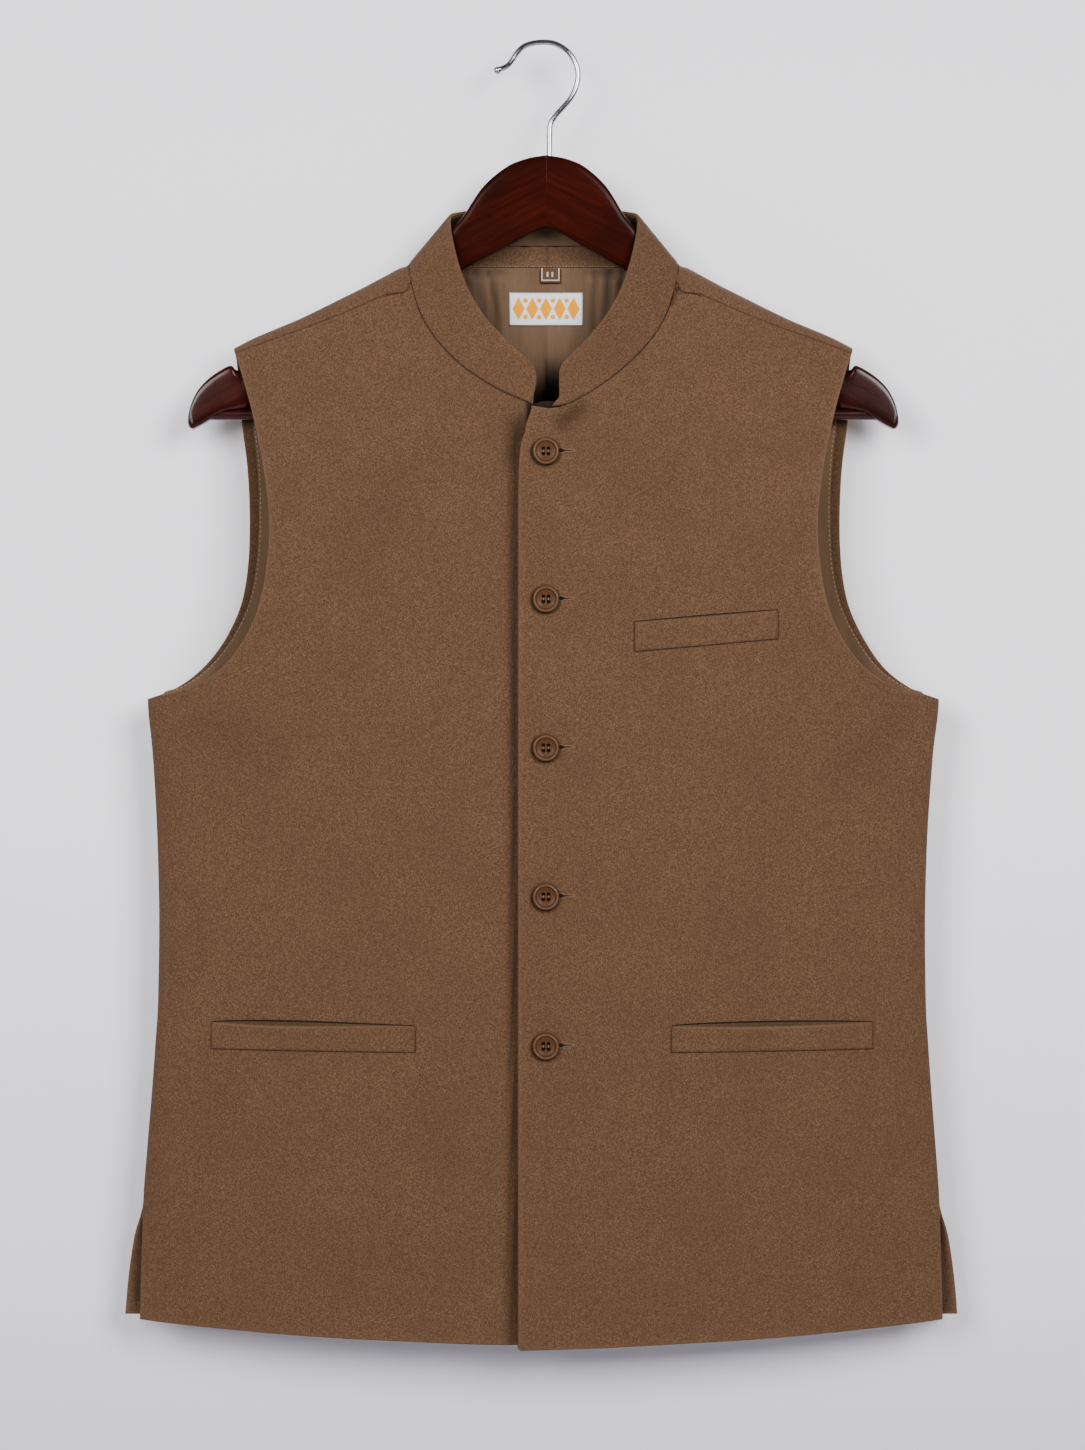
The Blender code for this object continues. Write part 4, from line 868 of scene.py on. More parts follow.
# painted shade where the under front lies in the shade of the upper one, deepest
# at the top and darkest on its tongue beyond the upper front's edge
across, height = right_grid[..., 0], right_grid[..., 2]
from_lap = over_zero(-14.5 + turned_in(height) - across)
high = hump(over_zero(-238.0 - height), 20.0)
spread = 1.0 + 0.9 * high + 0.5 * past(-height, 690.0, 90.0)
painted_lap_shade = (1.12 - 0.2 * high) * hump(from_lap - 5.1,
                                       spread * np.where(from_lap > 5.1, 2.6, 1.9))
painted_lap_shade *= 0.2 + 0.8 * past(-height, 229.0, 15.0)
painted_lap_shade += 1.6 * past(across, -12.5, 3.0)
front_right = cloth("front_right_cloth", right_grid, right_ways, 0.0, WOOL_THICK, (WOOL, SATIN),
                    lined, front_sewn, painted_edge_tone=pale_edge,
                    shade=flat_seam + painted_lap_shade + crease_shade(FRONT_CREASES[2:], -1, right_grid))

# painted shade inside the end of each shoulder, along the fold where the lining
# is felled along the armhole, and on the back behind the front's edge in each vent
row, column = BACK_ROWS[:, None], BACK_COLUMNS[None, :]
out, height = np.abs(back_grid[..., 0]), back_grid[..., 2]
painted_inside_shade = 1.3 * past(out, 186.0, 5.0) * past(height, -216.0, 8.0)
felled = 0.25 + 0.26 * past(row, 9.5, 2.5)
painted_inside_shade += ((row > 8.5) & (row < BACK_UNDERARM)) * (
    0.05 * (from_side < felled) + 0.8 * hump(from_side - felled, 0.07))
painted_inside_shade += 1.5 * past(-height, 738.0, 14.0) * (1.0 - past(out, 250.5, 8.5)) * (out > 200.0)
back_cloth = cloth("back_cloth", back_grid, back_ways, 0.0, WOOL_THICK, (WOOL,),
                   sewn={"top": BACK_COLUMNS > -1.0, "left": back_sides, "right": back_sides},
                   shade=-0.75 * ((column < BACK_CORNERS[0] - 0.02)
                                  | (column > BACK_CORNERS[1] + 0.02)) * (row < 0.3),
                   within=painted_inside_shade)

# painted shade: the collar a little darker all over and more toward the wearer's left, and on its
# inside at the foot of each end
from_end = np.minimum(COLLAR_COLUMNS, COLLAR_LAST - COLLAR_COLUMNS)[None, :]
collar_cloth = cloth("collar_cloth", collar_grid, collar_ways, 0.0, COLLAR_THICK, (WOOL,),
                     sewn={"top": COLLAR_COLUMNS > -1.0},
                     shade=0.05 + 0.17 * past(collar_grid[..., 0], 20.0, 30.0),
                     within=1.5 * (from_end < 2.0) * (1.0 - ease(COLLAR_ROWS / 2.0))[:, None])
# each panel as cut along its sewing lines: greatest width and length, and area
for piece, node, flat, area, rests in (
        (front_left, "front_left", (0.297, 0.689), 0.1530, ["hanger_arm_left"]),
        (front_right, "front_right", (0.301, 0.689), 0.1552, ["hanger_arm_right"]),
        (back_cloth, "back", (0.535, 0.723), 0.3110, ["hanger_arm_left", "hanger_arm_right"]),
        (collar_cloth, "collar", (0.482, 0.0435), 0.0126, ["back_cloth"])):
    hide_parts(node)
    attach(piece, "root")


# --------------------------------------------------- linings and neck facing
# Satin lines the back and the inside of the collar. At the back of the neck it
# hangs from a strip of the jacket's own wool, eased into small gathers, with a
# pleat down the middle for room. Its edges are turned under and felled by hand.
LINING_NEAR = WOOL_THICK + 0.3
LINING_THICK = 0.7
LINING_FIRST, LINING_END = 0.26, 27.74    # its side edges among the columns of the back
NECK_SEAM = -146.0                        # the height it is gathered at
GATHERS = (
    # across, from height, to height, half width, depth
    (-45.5, -146.0, -214.0, 2.8, 2.6), (-37.2, -146.0, -186.0, 2.2, 1.5),
    (-29.0, -146.0, -210.0, 2.9, 2.3), (-54.0, -150.0, -230.0, 3.4, 2.2),
    (30.5, -146.0, -196.0, 2.6, 2.0), (38.4, -146.0, -190.0, 2.2, 1.6),
    (46.5, -146.0, -218.0, 2.9, 2.7), (56.0, -150.0, -226.0, 3.2, 2.1),
    (-12.0, -147.0, -160.0, 2.0, 0.35), (17.5, -147.0, -158.0, 2.0, 0.35),
    (-23.5, -147.0, -236.0, 1.6, 0.5), (26.6, -147.0, -190.0, 1.8, 0.6),
    (-92.0, -190.0, -420.0, 7.0, 1.2), (-64.0, -230.0, -560.0, 8.0, 1.0),
    (70.0, -220.0, -520.0, 8.0, 1.1), (98.0, -190.0, -470.0, 7.0, 1.0),
    (-130.0, -300.0, -700.0, 9.0, 0.9), (136.0, -320.0, -720.0, 9.0, 0.9),
    (40.0, -420.0, -760.0, 8.0, 0.9), (-36.0, -470.0, -770.0, 8.0, 0.8))
# painted shade in the lining's folds below the neck
FOLD_SHADES = (
    # across, foot, half width, how dark, lean
    (-42.5, -212.0, 2.6, 0.75, 0.10), (-34.0, -196.0, 1.5, 0.65, 0.16),
    (-49.5, -222.0, 2.2, 0.8, 0.05), (-27.0, -178.0, 1.1, 0.35, 0.10),
    (33.6, -204.0, 1.7, 0.6, -0.12), (42.5, -214.0, 3.0, 0.85, -0.08),
    (50.5, -220.0, 2.2, 0.8, -0.05), (26.5, -172.0, 1.1, 0.35, -0.05))
LINING_EDGES = [0.0, 0.02, 0.05, 0.1, 0.18, 0.3, 0.5]
LINING_ROWS = np.array([BAND_ROWS + 0.04 + 0.4 * x for x in LINING_EDGES]
                       + lines_between(BAND_ROWS + 0.5, 12, 6) + lines_between(12, 16, 10)[1:]
                       + lines_between(16, BACK_UNDERARM, 6)[1:]
                       + lines_between(BACK_UNDERARM, BACK_HEM - 1, 6)[1:]
                       + [BACK_HEM - 0.35 - 0.6 * x for x in LINING_EDGES[::-1]])
LINING_COLUMNS = np.array([LINING_FIRST + 0.7 * x for x in LINING_EDGES]
                          + lines_between(1, 9, 4) + lines_between(9, 19, 12)[1:]
                          + lines_between(19, 27, 4)[1:]
                          + [LINING_END - 0.7 * x for x in LINING_EDGES[::-1]])


def drawn_in(grid):
    """Cuts the lining back a little further round the foot of each armhole."""
    lines, rows = LINING_COLUMNS, LINING_ROWS
    pull = np.maximum(0.5 * np.clip(1.0 - np.abs(rows - BACK_UNDERARM) / 3.5, 0.0, 1.0),
                      0.35 * past(rows, 9.5, 2.5) * (rows < BACK_UNDERARM))
    pull = 0.74 * (pull + 0.72 * past(rows, BACK_VENT_TOP - 0.6, 1.0))
    near = np.clip(1.0 - (lines - LINING_FIRST) / 2.74, 0.0, 1.0)
    far = np.clip(1.0 - (LINING_END - lines) / 2.74, 0.0, 1.0)
    return np.array([np.transpose([np.interp(lines + by, lines, line[:, c]) for c in range(3)])
                     for line, by in zip(grid, pull[:, None] * (near - far))])


lining_grid = drawn_in(back_panel(LINING_ROWS, LINING_COLUMNS, False))
lining_ways = face_normals(lining_grid)
across, height = lining_grid[..., 0], lining_grid[..., 2]
hangs = np.zeros(across.shape)
for at, top, foot, wide, deep in GATHERS:
    lies = at * (1.0 + 0.05 * np.sin((height - top) / 23.0))
    length = np.clip((top - height) / (top - foot), 0.0, 1.0)
    hangs += deep * hump(across - lies, wide) * (1.0 - length) ** 0.8 * ease(
        (top + 3.0 - height) / 6.0)
# small puckers under the seam, and the pleat down the middle
hangs += 0.22 * (np.sin(across * 0.93) + np.sin(across * 1.57 + 1.0)) * np.exp(
    -np.abs(height - height[:1]) / 6.0) * (np.abs(across) < 70.0)
pleat = past(across, 0.9, 1.4) * np.exp(-over_zero(across - 2.3) / 9.0)
hangs += 1.5 * pleat * past(-height, 172.0, 8.0) * past(height, -430.0, 160.0)
# painted shade in the folds: between two ridges the satin is painted as in the shade
by_neck = height < -140.0
painted_lining_shade = 0.30 * ease((0.9 - hangs) / 0.9) * hump(np.abs(across) - 40.0, 14.0) * past(
    height, -232.0, 50.0) * by_neck
for at, foot, wide, dark, lean in FOLD_SHADES:
    below = NECK_SEAM - height
    lies = at + lean * below + 1.1 * np.sin((height - at) / 13.0)
    painted_lining_shade += dark * hump(across - lies, wide * (1.0 + below / 90.0)) * past(
        height, foot, 44.0) * by_neck
# painted shade down the fold of the pleat
painted_lining_shade += 0.9 * hump(across - 0.9, 0.7) * past(-height, 172.0, 6.0)
# painted shade where the middle lies in the shade of the fronts, on one side of
# the pleat from higher up
pleat_side, middle = past(across, 0.6, 1.2), np.abs(across) < 30.0
painted_lining_shade += 1.5 * past(-height, 192.0, 22.0) * pleat_side * middle
painted_lining_shade += 1.4 * past(-height, 206.0, 22.0) * (1.0 - pleat_side) * middle
# painted shade on the sides of the lining in each vent
painted_lining_shade += 0.8 * past(-height, 738.0, 12.0) * past(np.abs(across), 236.0, 8.0)
# the label and the tab hold it flat
under_label = (across > -26.0) & (across < 28.0) & (height > -178.0) & (height < -138.0)
hangs = np.where(under_label, np.clip(hangs, -0.2, 0.25), np.clip(hangs, -0.25, None))
lining = cloth("back_lining_satin", lining_grid - lining_ways * hangs[..., None], lining_ways,
               LINING_NEAR, LINING_THICK, (SATIN,), shade=painted_lining_shade)

# the neck strip's melton is a copy of the jacket's own, painted a little lighter to stand in for
# the light on it
NECK_WOOL_LIT_COPY = felted("neck_strip_melton_lit_copy", (0.064, 0.030, 0.015), (0.097, 0.050, 0.027),
                   (0.150, 0.087, 0.049))
FACING_THICK = 1.2
FACING_ROWS = [0.14 + 7.76 * x for x in
               (0.0, 0.01, 0.03, 0.06, 0.1, 0.17, 0.25, 0.35, 0.45, 0.55, 0.65, 0.75, 0.83,
                0.9, 0.94, 0.97, 0.99, 1.0)]
FACING_COLUMNS = [9.0, 9.03, 9.08, 9.16, 9.3] + lines_between(9.5, 18.5, 10) + [
    18.7, 18.84, 18.92, 18.97, 19.0]
facing_grid = refine(back_coarse(), FACING_ROWS, FACING_COLUMNS)
facing_ways = face_normals(facing_grid)
# its edges waver a little, and a seam is pressed open down its middle
across = facing_grid[..., 0]
waver = 0.35 * np.sin(across * 0.62) + 0.3 * np.sin(across * 0.29 + 2.0)
from_top = np.linspace(0.0, 1.0, len(FACING_ROWS))[:, None]
facing_grid[..., 2] += waver * (1.0 - 2.0 * from_top) * 0.6
from_seam = np.abs(across - 1.6)
facing = cloth("neck_facing_wool", facing_grid, facing_ways, LINING_NEAR, FACING_THICK,
               (NECK_WOOL_LIT_COPY,), hollow=0.5 * hump(from_seam, 0.6), shade=hump(from_seam, 0.5))

COLLAR_LINING_NEAR, COLLAR_LINING_THICK = COLLAR_THICK + 0.3, 0.8
INNER_ROWS = [0.03, 0.05, 0.09, 0.16, 0.28, 0.48, 0.75] + lines_between(1, 2, 4) + [
    2.25, 2.45, 2.6, 2.68, 2.74, 2.78, 2.8]
INNER_COLUMNS = [0.6, 0.63, 0.68, 0.75, 0.86] + lines_between(1, 33, 4) + [
    33.14, 33.25, 33.32, 33.37, 33.4]
inner_grid = refine(collar_coarse(), INNER_ROWS, INNER_COLUMNS)
# painted shade on the collar lining where it stands close beside the hanger
painted_arm_shade = 1.3 * past(np.abs(inner_grid[..., 0]), 44.0, 8.0) * past(
    inner_grid[..., 2], -165.0, 25.0)
inner_collar = cloth("collar_lining_satin", inner_grid, -face_normals(inner_grid),
                     COLLAR_LINING_NEAR, COLLAR_LINING_THICK, (SATIN,), shade=painted_arm_shade)
for piece, node, flat, area, rests in (
        (lining, "back_lining", (0.524, 0.684), 0.2925, ["back_cloth"]),
        (facing, "back_neck_facing", (0.180, 0.0140), 0.00215, ["back_cloth"]),
        (inner_collar, "collar_lining", (0.477, 0.0405), 0.0111, ["collar_cloth"])):
    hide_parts(node)
    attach(piece, "root")


# ---------------------------------------------------------------- pocket welts
# Three welts of the same wool, folded double and sewn in almost flush. The lower
# two stand open a hair along the mouth, with a near-black strip behind painted as
# the shadow in the pocket.
LOWER_WELT = ((80.2, -622.0), (209.0, -620.4), (209.0, -637.4), (80.2, -638.9))
WELTS = (
    # name, node, hand, corners from the inner top round to the inner foot, mouth opening
    ("chest_welt_wool", "chest_welt", 1,
     ((56.5, -368.2), (147.7, -360.5), (147.7, -378.8), (56.5, -387.0)), 0.5),
    ("pocket_welt_left_wool", "pocket_welt_left", 1, LOWER_WELT, 1.7),
    ("pocket_welt_right_wool", "pocket_welt_right", -1, LOWER_WELT, 1.7))
WELT_PROUD = 1.25
EDGE_STEPS = np.array([0.0, 0.04, 0.12, 0.25, 0.42, 0.62, 0.85, 1.2])
WELT_TOP_STEPS = np.array([0.0, 0.04, 0.12, 0.25, 0.42, 0.62, 0.85, 1.1, 1.35, 1.6, 1.85, 2.1,
                           2.35, 2.6, 2.85, 3.1, 3.4, 3.8, 4.4, 5.2])


def strip_on_front(hand, corners, across_steps, down_steps):
    """Points of a four-cornered strip laid on a front."""
    a, b, c, d = [np.array(p, float) for p in corners]
    u = across_steps[None, :, None]
    v = down_steps[:, None, None]
    flat = (a * (1 - u) + b * u) * (1 - v) + (d * (1 - u) + c * u) * v
    return on_front(hand, flat[..., 0], flat[..., 1])


def edged(length, parts):
    """Places from 0 to 1 along a strip, crowded toward both ends."""
    ends = EDGE_STEPS / length
    return np.concatenate([ends, np.linspace(ends[-1], 1.0 - ends[-1], parts + 1)[1:-1],
                           1.0 - ends[::-1]])


def gaping(places, lean):
    """How far a pocket mouth gapes along its length: most about the middle."""
    places = np.clip(places, 0.0, 1.0)
    return np.clip(np.sin(places ** lean * math.pi), 0.0, 1.0) ** 0.8


# a near-black felt painted as deep shadow: in the pocket mouths, on the button shanks and in the
# eyes of the buttonholes
PAINTED_SHADOW_FELT = felted("painted_shadow_felt", (0.006, 0.003, 0.0015), (0.010, 0.005, 0.003),
                     (0.018, 0.010, 0.006))
for name, node, hand, corners, mouth in WELTS:
    length, drop = corners[1][0] - corners[0][0], corners[0][1] - corners[3][1]
    u = edged(length, 44)
    v = np.concatenate([
        WELT_TOP_STEPS, np.linspace(WELT_TOP_STEPS[-1], drop - EDGE_STEPS[-1], 6)[1:-1],
        drop - EDGE_STEPS[::-1]])[:, None] / drop
    # the upper side of the mouth bows up, and the folded top of the welt sags below it
    lean = 0.9 if hand > 0 else 1.55
    gape = gaping(u, lean)[None, :]
    sag = 0.25 + 1.45 * mouth * gape
    grid = strip_on_front(hand, corners, u, v[:, 0])
    grid[..., 2] += 0.8 * mouth * gape * (1.0 - v) ** 3
    ways = face_normals(grid) * -hand
    below = v * drop
    ridge = hump(below - sag, 0.8) * gape ** 0.5
    grid = grid + ways * (0.30 * mouth * ridge - 0.55 * (1.0 - ease(below / sag)))[..., None]
    every_row, every_column = (np.ones(count, bool) for count in grid.shape[:2])
    # painted shade in the band between the mouth and the welt's sagging fold, and a painted
    # highlight along the fold
    welt = cloth(name, grid, ways, -WELT_PROUD, WELT_PROUD + 0.25, (WOOL,),
                 sewn={"bottom": every_column, "left": every_row, "right": every_row},
                 shade=0.85 * (1.0 - past(below / sag, 0.62, 0.3)) * gape ** 0.5,
                 painted_edge_tone=1.7 * (mouth > 1.0) * hump(below - sag - 0.3, 0.6) * gape ** 0.7)
    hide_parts(node)
    # the mouth: a near-black strip painted as the shadow in the pocket, thickest over
    # its middle
    (x0, z0), (x1, z1) = corners[0], corners[1]
    top = ((x0 + 0.3, z0), (x1 - 0.3, z1), (x1 - 0.3, z1 - 1.0), (x0 + 0.3, z0 - 1.0))
    u, v = np.linspace(0.0, 1.0, 61), np.linspace(0.0, 1.0, 7)
    gape = gaping(u, lean)[None, :]
    thick = 0.46 + 0.44 * mouth * gape ** 0.6
    slit = strip_on_front(hand, top, u, v)
    slit[..., 2] += 0.8 * mouth * gape + 0.85 * thick + (1.0 - thick) * v[:, None]
    mouth_shadow_strip = cloth(name.replace("wool", "mouth"), slit, face_normals(slit) * -hand,
                         -0.45, 0.5, (PAINTED_SHADOW_FELT,))
    for piece in (welt, mouth_shadow_strip):
        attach(piece, "root")


# ------------------------------------------------------- neck label and size tab
# A white woven label with a plain band of marigold lozenges, and below the neck
# seam a small dark tab with a pale woven border. Both are felled to the lining.
LABEL_CORNERS = (-22.5, 25.1, -176.0, -154.8)      # across from and to, height from and to
TAB_CORNERS = (-2.6, 10.9, -148.8, -139.8)
LABEL_NEAR, TAB_NEAR, TAPE_THICK = 3.45, 4.1, 0.6
LOZENGE = ((3.9, 0.0), (1.8, 4.0), (0.0, 7.2), (-1.8, 4.0), (-3.9, 0.0), (-1.8, -4.0),
           (0.0, -7.2), (1.8, -4.0))
LOZENGES, LOZENGE_FIRST, LOZENGE_STEP = 5, 6.2, 8.8
DOT_RADIUS, DOT_RISE = 1.5, 5.2


def under_lining(across, height):
    """How deep the inside of the back lies behind a label sewn there."""
    return depth(across - 1.0, height, 1)


def woven(name, colour, threads, rough=0.7):
    """Narrow damask tape: crossing threads, each a little rounded."""
    made, tree, shader, where = look_of(name, rough, Specular_IOR_Level=0.08)
    warp, weft = (add(tree, "ShaderNodeTexWave", {
        "Vector": stretched(tree, where, scale), "Scale": threads, "Distortion": 0.6,
        "Detail": 1.0}, bands_direction=way).outputs[1]
        for scale, way in (((1.0, 1.0, 0.02), "X"), ((0.02, 1.0, 1.0), "Z")))
    weave = sums(tree, warp, weft, "MULTIPLY")
    soil = weighed(tree, None, (noise(tree, where, 160.0, 3.0, 0.6), 0.10))
    shade = mixed(tree, weighed(tree, None, (weave, 0.5)), shaded(colour, 0.84), colour)
    feed(tree, shader.inputs["Base Color"], mixed(tree, soil, shade, shaded(colour, 0.7)))
    raise_by(tree, shader, weave, 0.35, 0.0002)
    return made


LABEL_WHITE = woven("label_white", (0.93, 0.93, 0.94), 900.0, 0.85)
MARIGOLD = woven("marigold_thread", (1.0, 0.38, 0.002), 1100.0, 0.85)
TAB_BROWN = woven("tab_brown", (0.105, 0.058, 0.034), 900.0)
TAB_PALE = woven("tab_pale", (0.55, 0.45, 0.36), 1000.0)


def tape(name, corners, near, look, columns, rows, bow):
    """A piece of tape laid on the lining, bowed up a little in its middle."""
    x0, x1, z0, z1 = corners
    x, z = np.meshgrid(np.linspace(x0, x1, columns), np.linspace(z1, z0, rows))
    grid = np.stack([x, under_lining(x, z), z], axis=-1)
    ways = face_normals(grid)
    u, v = (x - x0) / (x1 - x0), (z - z0) / (z1 - z0)
    lift = bow * np.sin(math.pi * u) * np.sin(math.pi * v) + 0.12 * np.sin(u * 9.0 + 2.0 * v)
    return cloth(name, grid - ways * lift[..., None], ways, near, TAPE_THICK, (look,))


def ring_faces(rings, sides, lids=True):
    """Faces round a row of rings of points, with a lid on both ends if wanted."""
    faces = [(i * sides + k, i * sides + n, (i + 1) * sides + n, (i + 1) * sides + k)
             for i in range(rings - 1) for k in range(sides) for n in [(k + 1) % sides]]
    if lids:
        last = (rings - 1) * sides
        faces += [tuple(range(sides - 1, -1, -1)), tuple(range(last, last + sides))]
    return faces


def turned_outward(piece):
    tidy = bmesh.new()
    tidy.from_mesh(piece.data)
    bmesh.ops.recalc_face_normals(tidy, faces=tidy.faces)
    tidy.to_mesh(piece.data)
    tidy.free()


def joined(name, parts, look, marks=None, sharp=None):
    """Several small closed bodies as one piece, all turned outward."""
    points, faces = [], []
    for more, sides in parts:
        faces += [tuple(len(points) + i for i in side) for side in sides]
        points += [tuple(p) for p in more]
    made = mesh_piece(name, points, faces, (look,), None, marks)
    turned_outward(made)
    if sharp:
        made.data.set_sharp_from_angle(angle=sharp)
    return made


def laid_shape(outline, near):
    """A small raised shape woven into a tape, from its outline in across and height."""
    outline = np.array(outline, float)
    centre, sides = outline.mean(axis=0), len(outline)
    face = near + TAPE_THICK - 0.15
    points = [(x, float(under_lining(x, z)) - rise, z)
              for size, rise in ((1.0, face), (1.0, face + 0.26), (0.86, face + 0.34))
              for x, z in centre + (outline - centre) * size]
    middle = float(under_lining(*centre))
    points += [(centre[0], middle - rise, centre[1]) for rise in (face, face + 0.34)]
    faces = ring_faces(3, sides, False)
    for k in range(sides):
        n = (k + 1) % sides
        faces += [(n, k, 3 * sides), (3 * sides + 1, 2 * sides + k, 2 * sides + n)]
    return points, faces


label = tape("neck_label", LABEL_CORNERS, LABEL_NEAR, LABEL_WHITE, 41, 21, 0.25)
tab = tape("size_tab_cloth", TAB_CORNERS, TAB_NEAR, TAB_BROWN, 21, 13, 0.15)
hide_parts("brand_label")
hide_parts("size_tab")
middle_height = 0.5 * (LABEL_CORNERS[2] + LABEL_CORNERS[3])
shapes = []
for k in range(LOZENGES):
    at = LABEL_CORNERS[0] + LOZENGE_FIRST + LOZENGE_STEP * k
    shapes.append([(at + dx, middle_height + dz) for dx, dz in LOZENGE])
    for rise in (-DOT_RISE, DOT_RISE) if k < LOZENGES - 1 else ():
        shapes.append([(at + 0.5 * LOZENGE_STEP + DOT_RADIUS * math.cos(a),
                        middle_height + rise + DOT_RADIUS * math.sin(a))
                       for a in np.linspace(0, 2 * math.pi, 13)[:-1]])
band = joined("label_lozenges", [laid_shape(shape, LABEL_NEAR + 0.2) for shape in shapes],
              MARIGOLD, sharp=0.6)
# the tab's border of three strokes, and two marks inside it
x0, x1, z0, z1 = TAB_CORNERS
strokes = [[(left, low), (right, low), (right, high), (left, high)] for left, right, low, high in (
    (x0 + 0.9, x0 + 1.7, z0 + 0.9, z1), (x1 - 1.7, x1 - 0.9, z0 + 0.9, z1),
    (x0 + 0.9, x1 - 0.9, z0 + 0.9, z0 + 1.7), (x0 + 4.3, x0 + 5.5, z0 + 3.4, z1 - 2.4),
    (x0 + 7.4, x0 + 8.6, z0 + 3.4, z1 - 2.4))]
tab_marks = joined("size_tab_marks", [laid_shape(stroke, TAB_NEAR + 0.1) for stroke in strokes],
                   TAB_PALE, sharp=0.6)
for piece in (label, tab, band, tab_marks):
    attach(piece, "root")


# ---------------------------------------------------------------- buttons
# Five four-hole buttons turned from brown casein: a rolled rim, a groove inside
# it and a dished middle. Each stands on a short thread shank.
BUTTON_X = 1.2
BUTTON_HEIGHTS = (-261.1, -353.9, -447.2, -540.6, -634.5)
BUTTON_RADIUS, BUTTON_SIDES, BUTTON_GAP = 8.4, 96, 0.9
HOLE_RADIUS, HOLE_STEP, HOLE_SIDES = 1.24, 1.62, 28
STRAND_RADIUS, STRAND_APART = 0.15, 0.17
BUTTON_PROFILE = (
    # in from the edge, out from the back
    (4.0, 0.0), (1.6, 0.05), (0.75, 0.35), (0.2, 0.95), (0.0, 1.60), (0.08, 2.15),
    (0.36, 2.62), (0.80, 2.95), (1.28, 3.05), (1.72, 2.93), (2.05, 2.62), (2.22, 2.30),
    (2.42, 2.16), (2.75, 2.18), (3.15, 2.10), (3.65, 1.90), (4.2, 1.76), (4.9, 1.70))
RING_REACH = np.array([3.0, 6.5, 8.0, 8.5, 8.9, 9.3, 9.8, 10.4, 11.2, 12.2, 13.5])[:, None]

casein, tree, shader, where = look_of("brown_casein", 0.20, Specular_IOR_Level=0.10)
swirl = noise(tree, stretched(tree, where, (1.0, 1.0, 2.6), (0.0, 0.5, 0.0)), 150.0, 4.0, 0.6, 2.5)
speck = noise(tree, where, 2400.0, 2.0, 0.5)
colour = tones(tree, swirl, (0.30, (0.052, 0.0203, 0.0076)), (0.52, (0.068, 0.0275, 0.0104)),
               (0.74, (0.086, 0.0360, 0.0145)))
# a painted highlight along the crest of the rim, and painted shade in the groove inside it and on
# the button's back
rim = marked(tree, "edge")
colour = mixed(tree, rim, colour, (0.112, 0.0570, 0.0295))
colour = mixed(tree, marked(tree, "seam"), colour, (0.030, 0.013, 0.007))
feed(tree, shader.inputs["Base Color"], colour)
feed(tree, shader.inputs["Roughness"], weighed(tree, 0.34, (speck, 0.10), (rim, -0.24)))
raise_by(tree, shader, speck, 0.06, 0.0001)


def spun(name, rough, waves, dark, light, lift=0.0, **constants):
    """Sewing thread: plies of two tones wound round each other."""
    made, tree, shader, where = look_of(name, rough, **constants)
    twist = noise(tree, stretched(tree, where, waves), 1.0, 2.0, 0.5)
    feed(tree, shader.inputs["Base Color"], tones(tree, twist, (0.3, dark), (0.7, light)))
    if lift:
        raise_by(tree, shader, twist, lift, 0.0002)
    return made


BROWN_THREAD = spun("button_thread", 0.8, (3000.0, 3000.0, 1200.0), (0.105, 0.053, 0.028),
                    (0.205, 0.118, 0.070), 0.4, Sheen_Weight=0.03, Sheen_Roughness=0.4,
                    Specular_IOR_Level=0.1)
BRIDGE_THREAD = spun("button_thread_bridge", 0.7, (3000.0, 3000.0, 1200.0),
                     (0.17, 0.095, 0.055), (0.27, 0.17, 0.105), Specular_IOR_Level=0.15)


def rod(path, radius, sides=8):
    """A closed round rod along a line, as points and faces."""
    path = np.asarray(path, float)
    radius = np.broadcast_to(np.asarray(radius, float), (len(path),))
    way = unit(np.gradient(path, axis=0))
    aside = unit(np.cross(way, (0.21, 0.83, 0.14)))
    up = np.cross(way, aside)
    turns = [2.0 * math.pi * k / sides for k in range(sides)]
    points = [p + r * (math.cos(turn) * a + math.sin(turn) * u)
              for p, a, u, r in zip(path, aside, up, radius) for turn in turns]
    return points, ring_faces(len(path), sides)


def turned_button(number, face, height):
    """The button as it comes off the lathe, with a painted highlight on its rim and
    painted shade in its groove and on its back.
    """
    points, marks = [], {"edge": [], "seam": []}
    for inward, out in BUTTON_PROFILE:
        r = BUTTON_RADIUS - inward
        marks["edge"] += [math.exp(-((inward - 1.05) / 0.55) ** 2) * (out > 2.0)] * BUTTON_SIDES
        marks["seam"] += [0.9 * math.exp(-((inward - 2.3) / 0.26) ** 2)
                          + 0.8 * (out < 1.2)] * BUTTON_SIDES
        for k in range(BUTTON_SIDES):
            turn = 2.0 * math.pi * k / BUTTON_SIDES
            points.append((BUTTON_X + r * math.cos(turn), face - out, height + r * math.sin(turn)))
    faces = ring_faces(len(BUTTON_PROFILE), BUTTON_SIDES)
    return joined("button_%d_turned" % number, [(points, faces)], casein, marks)


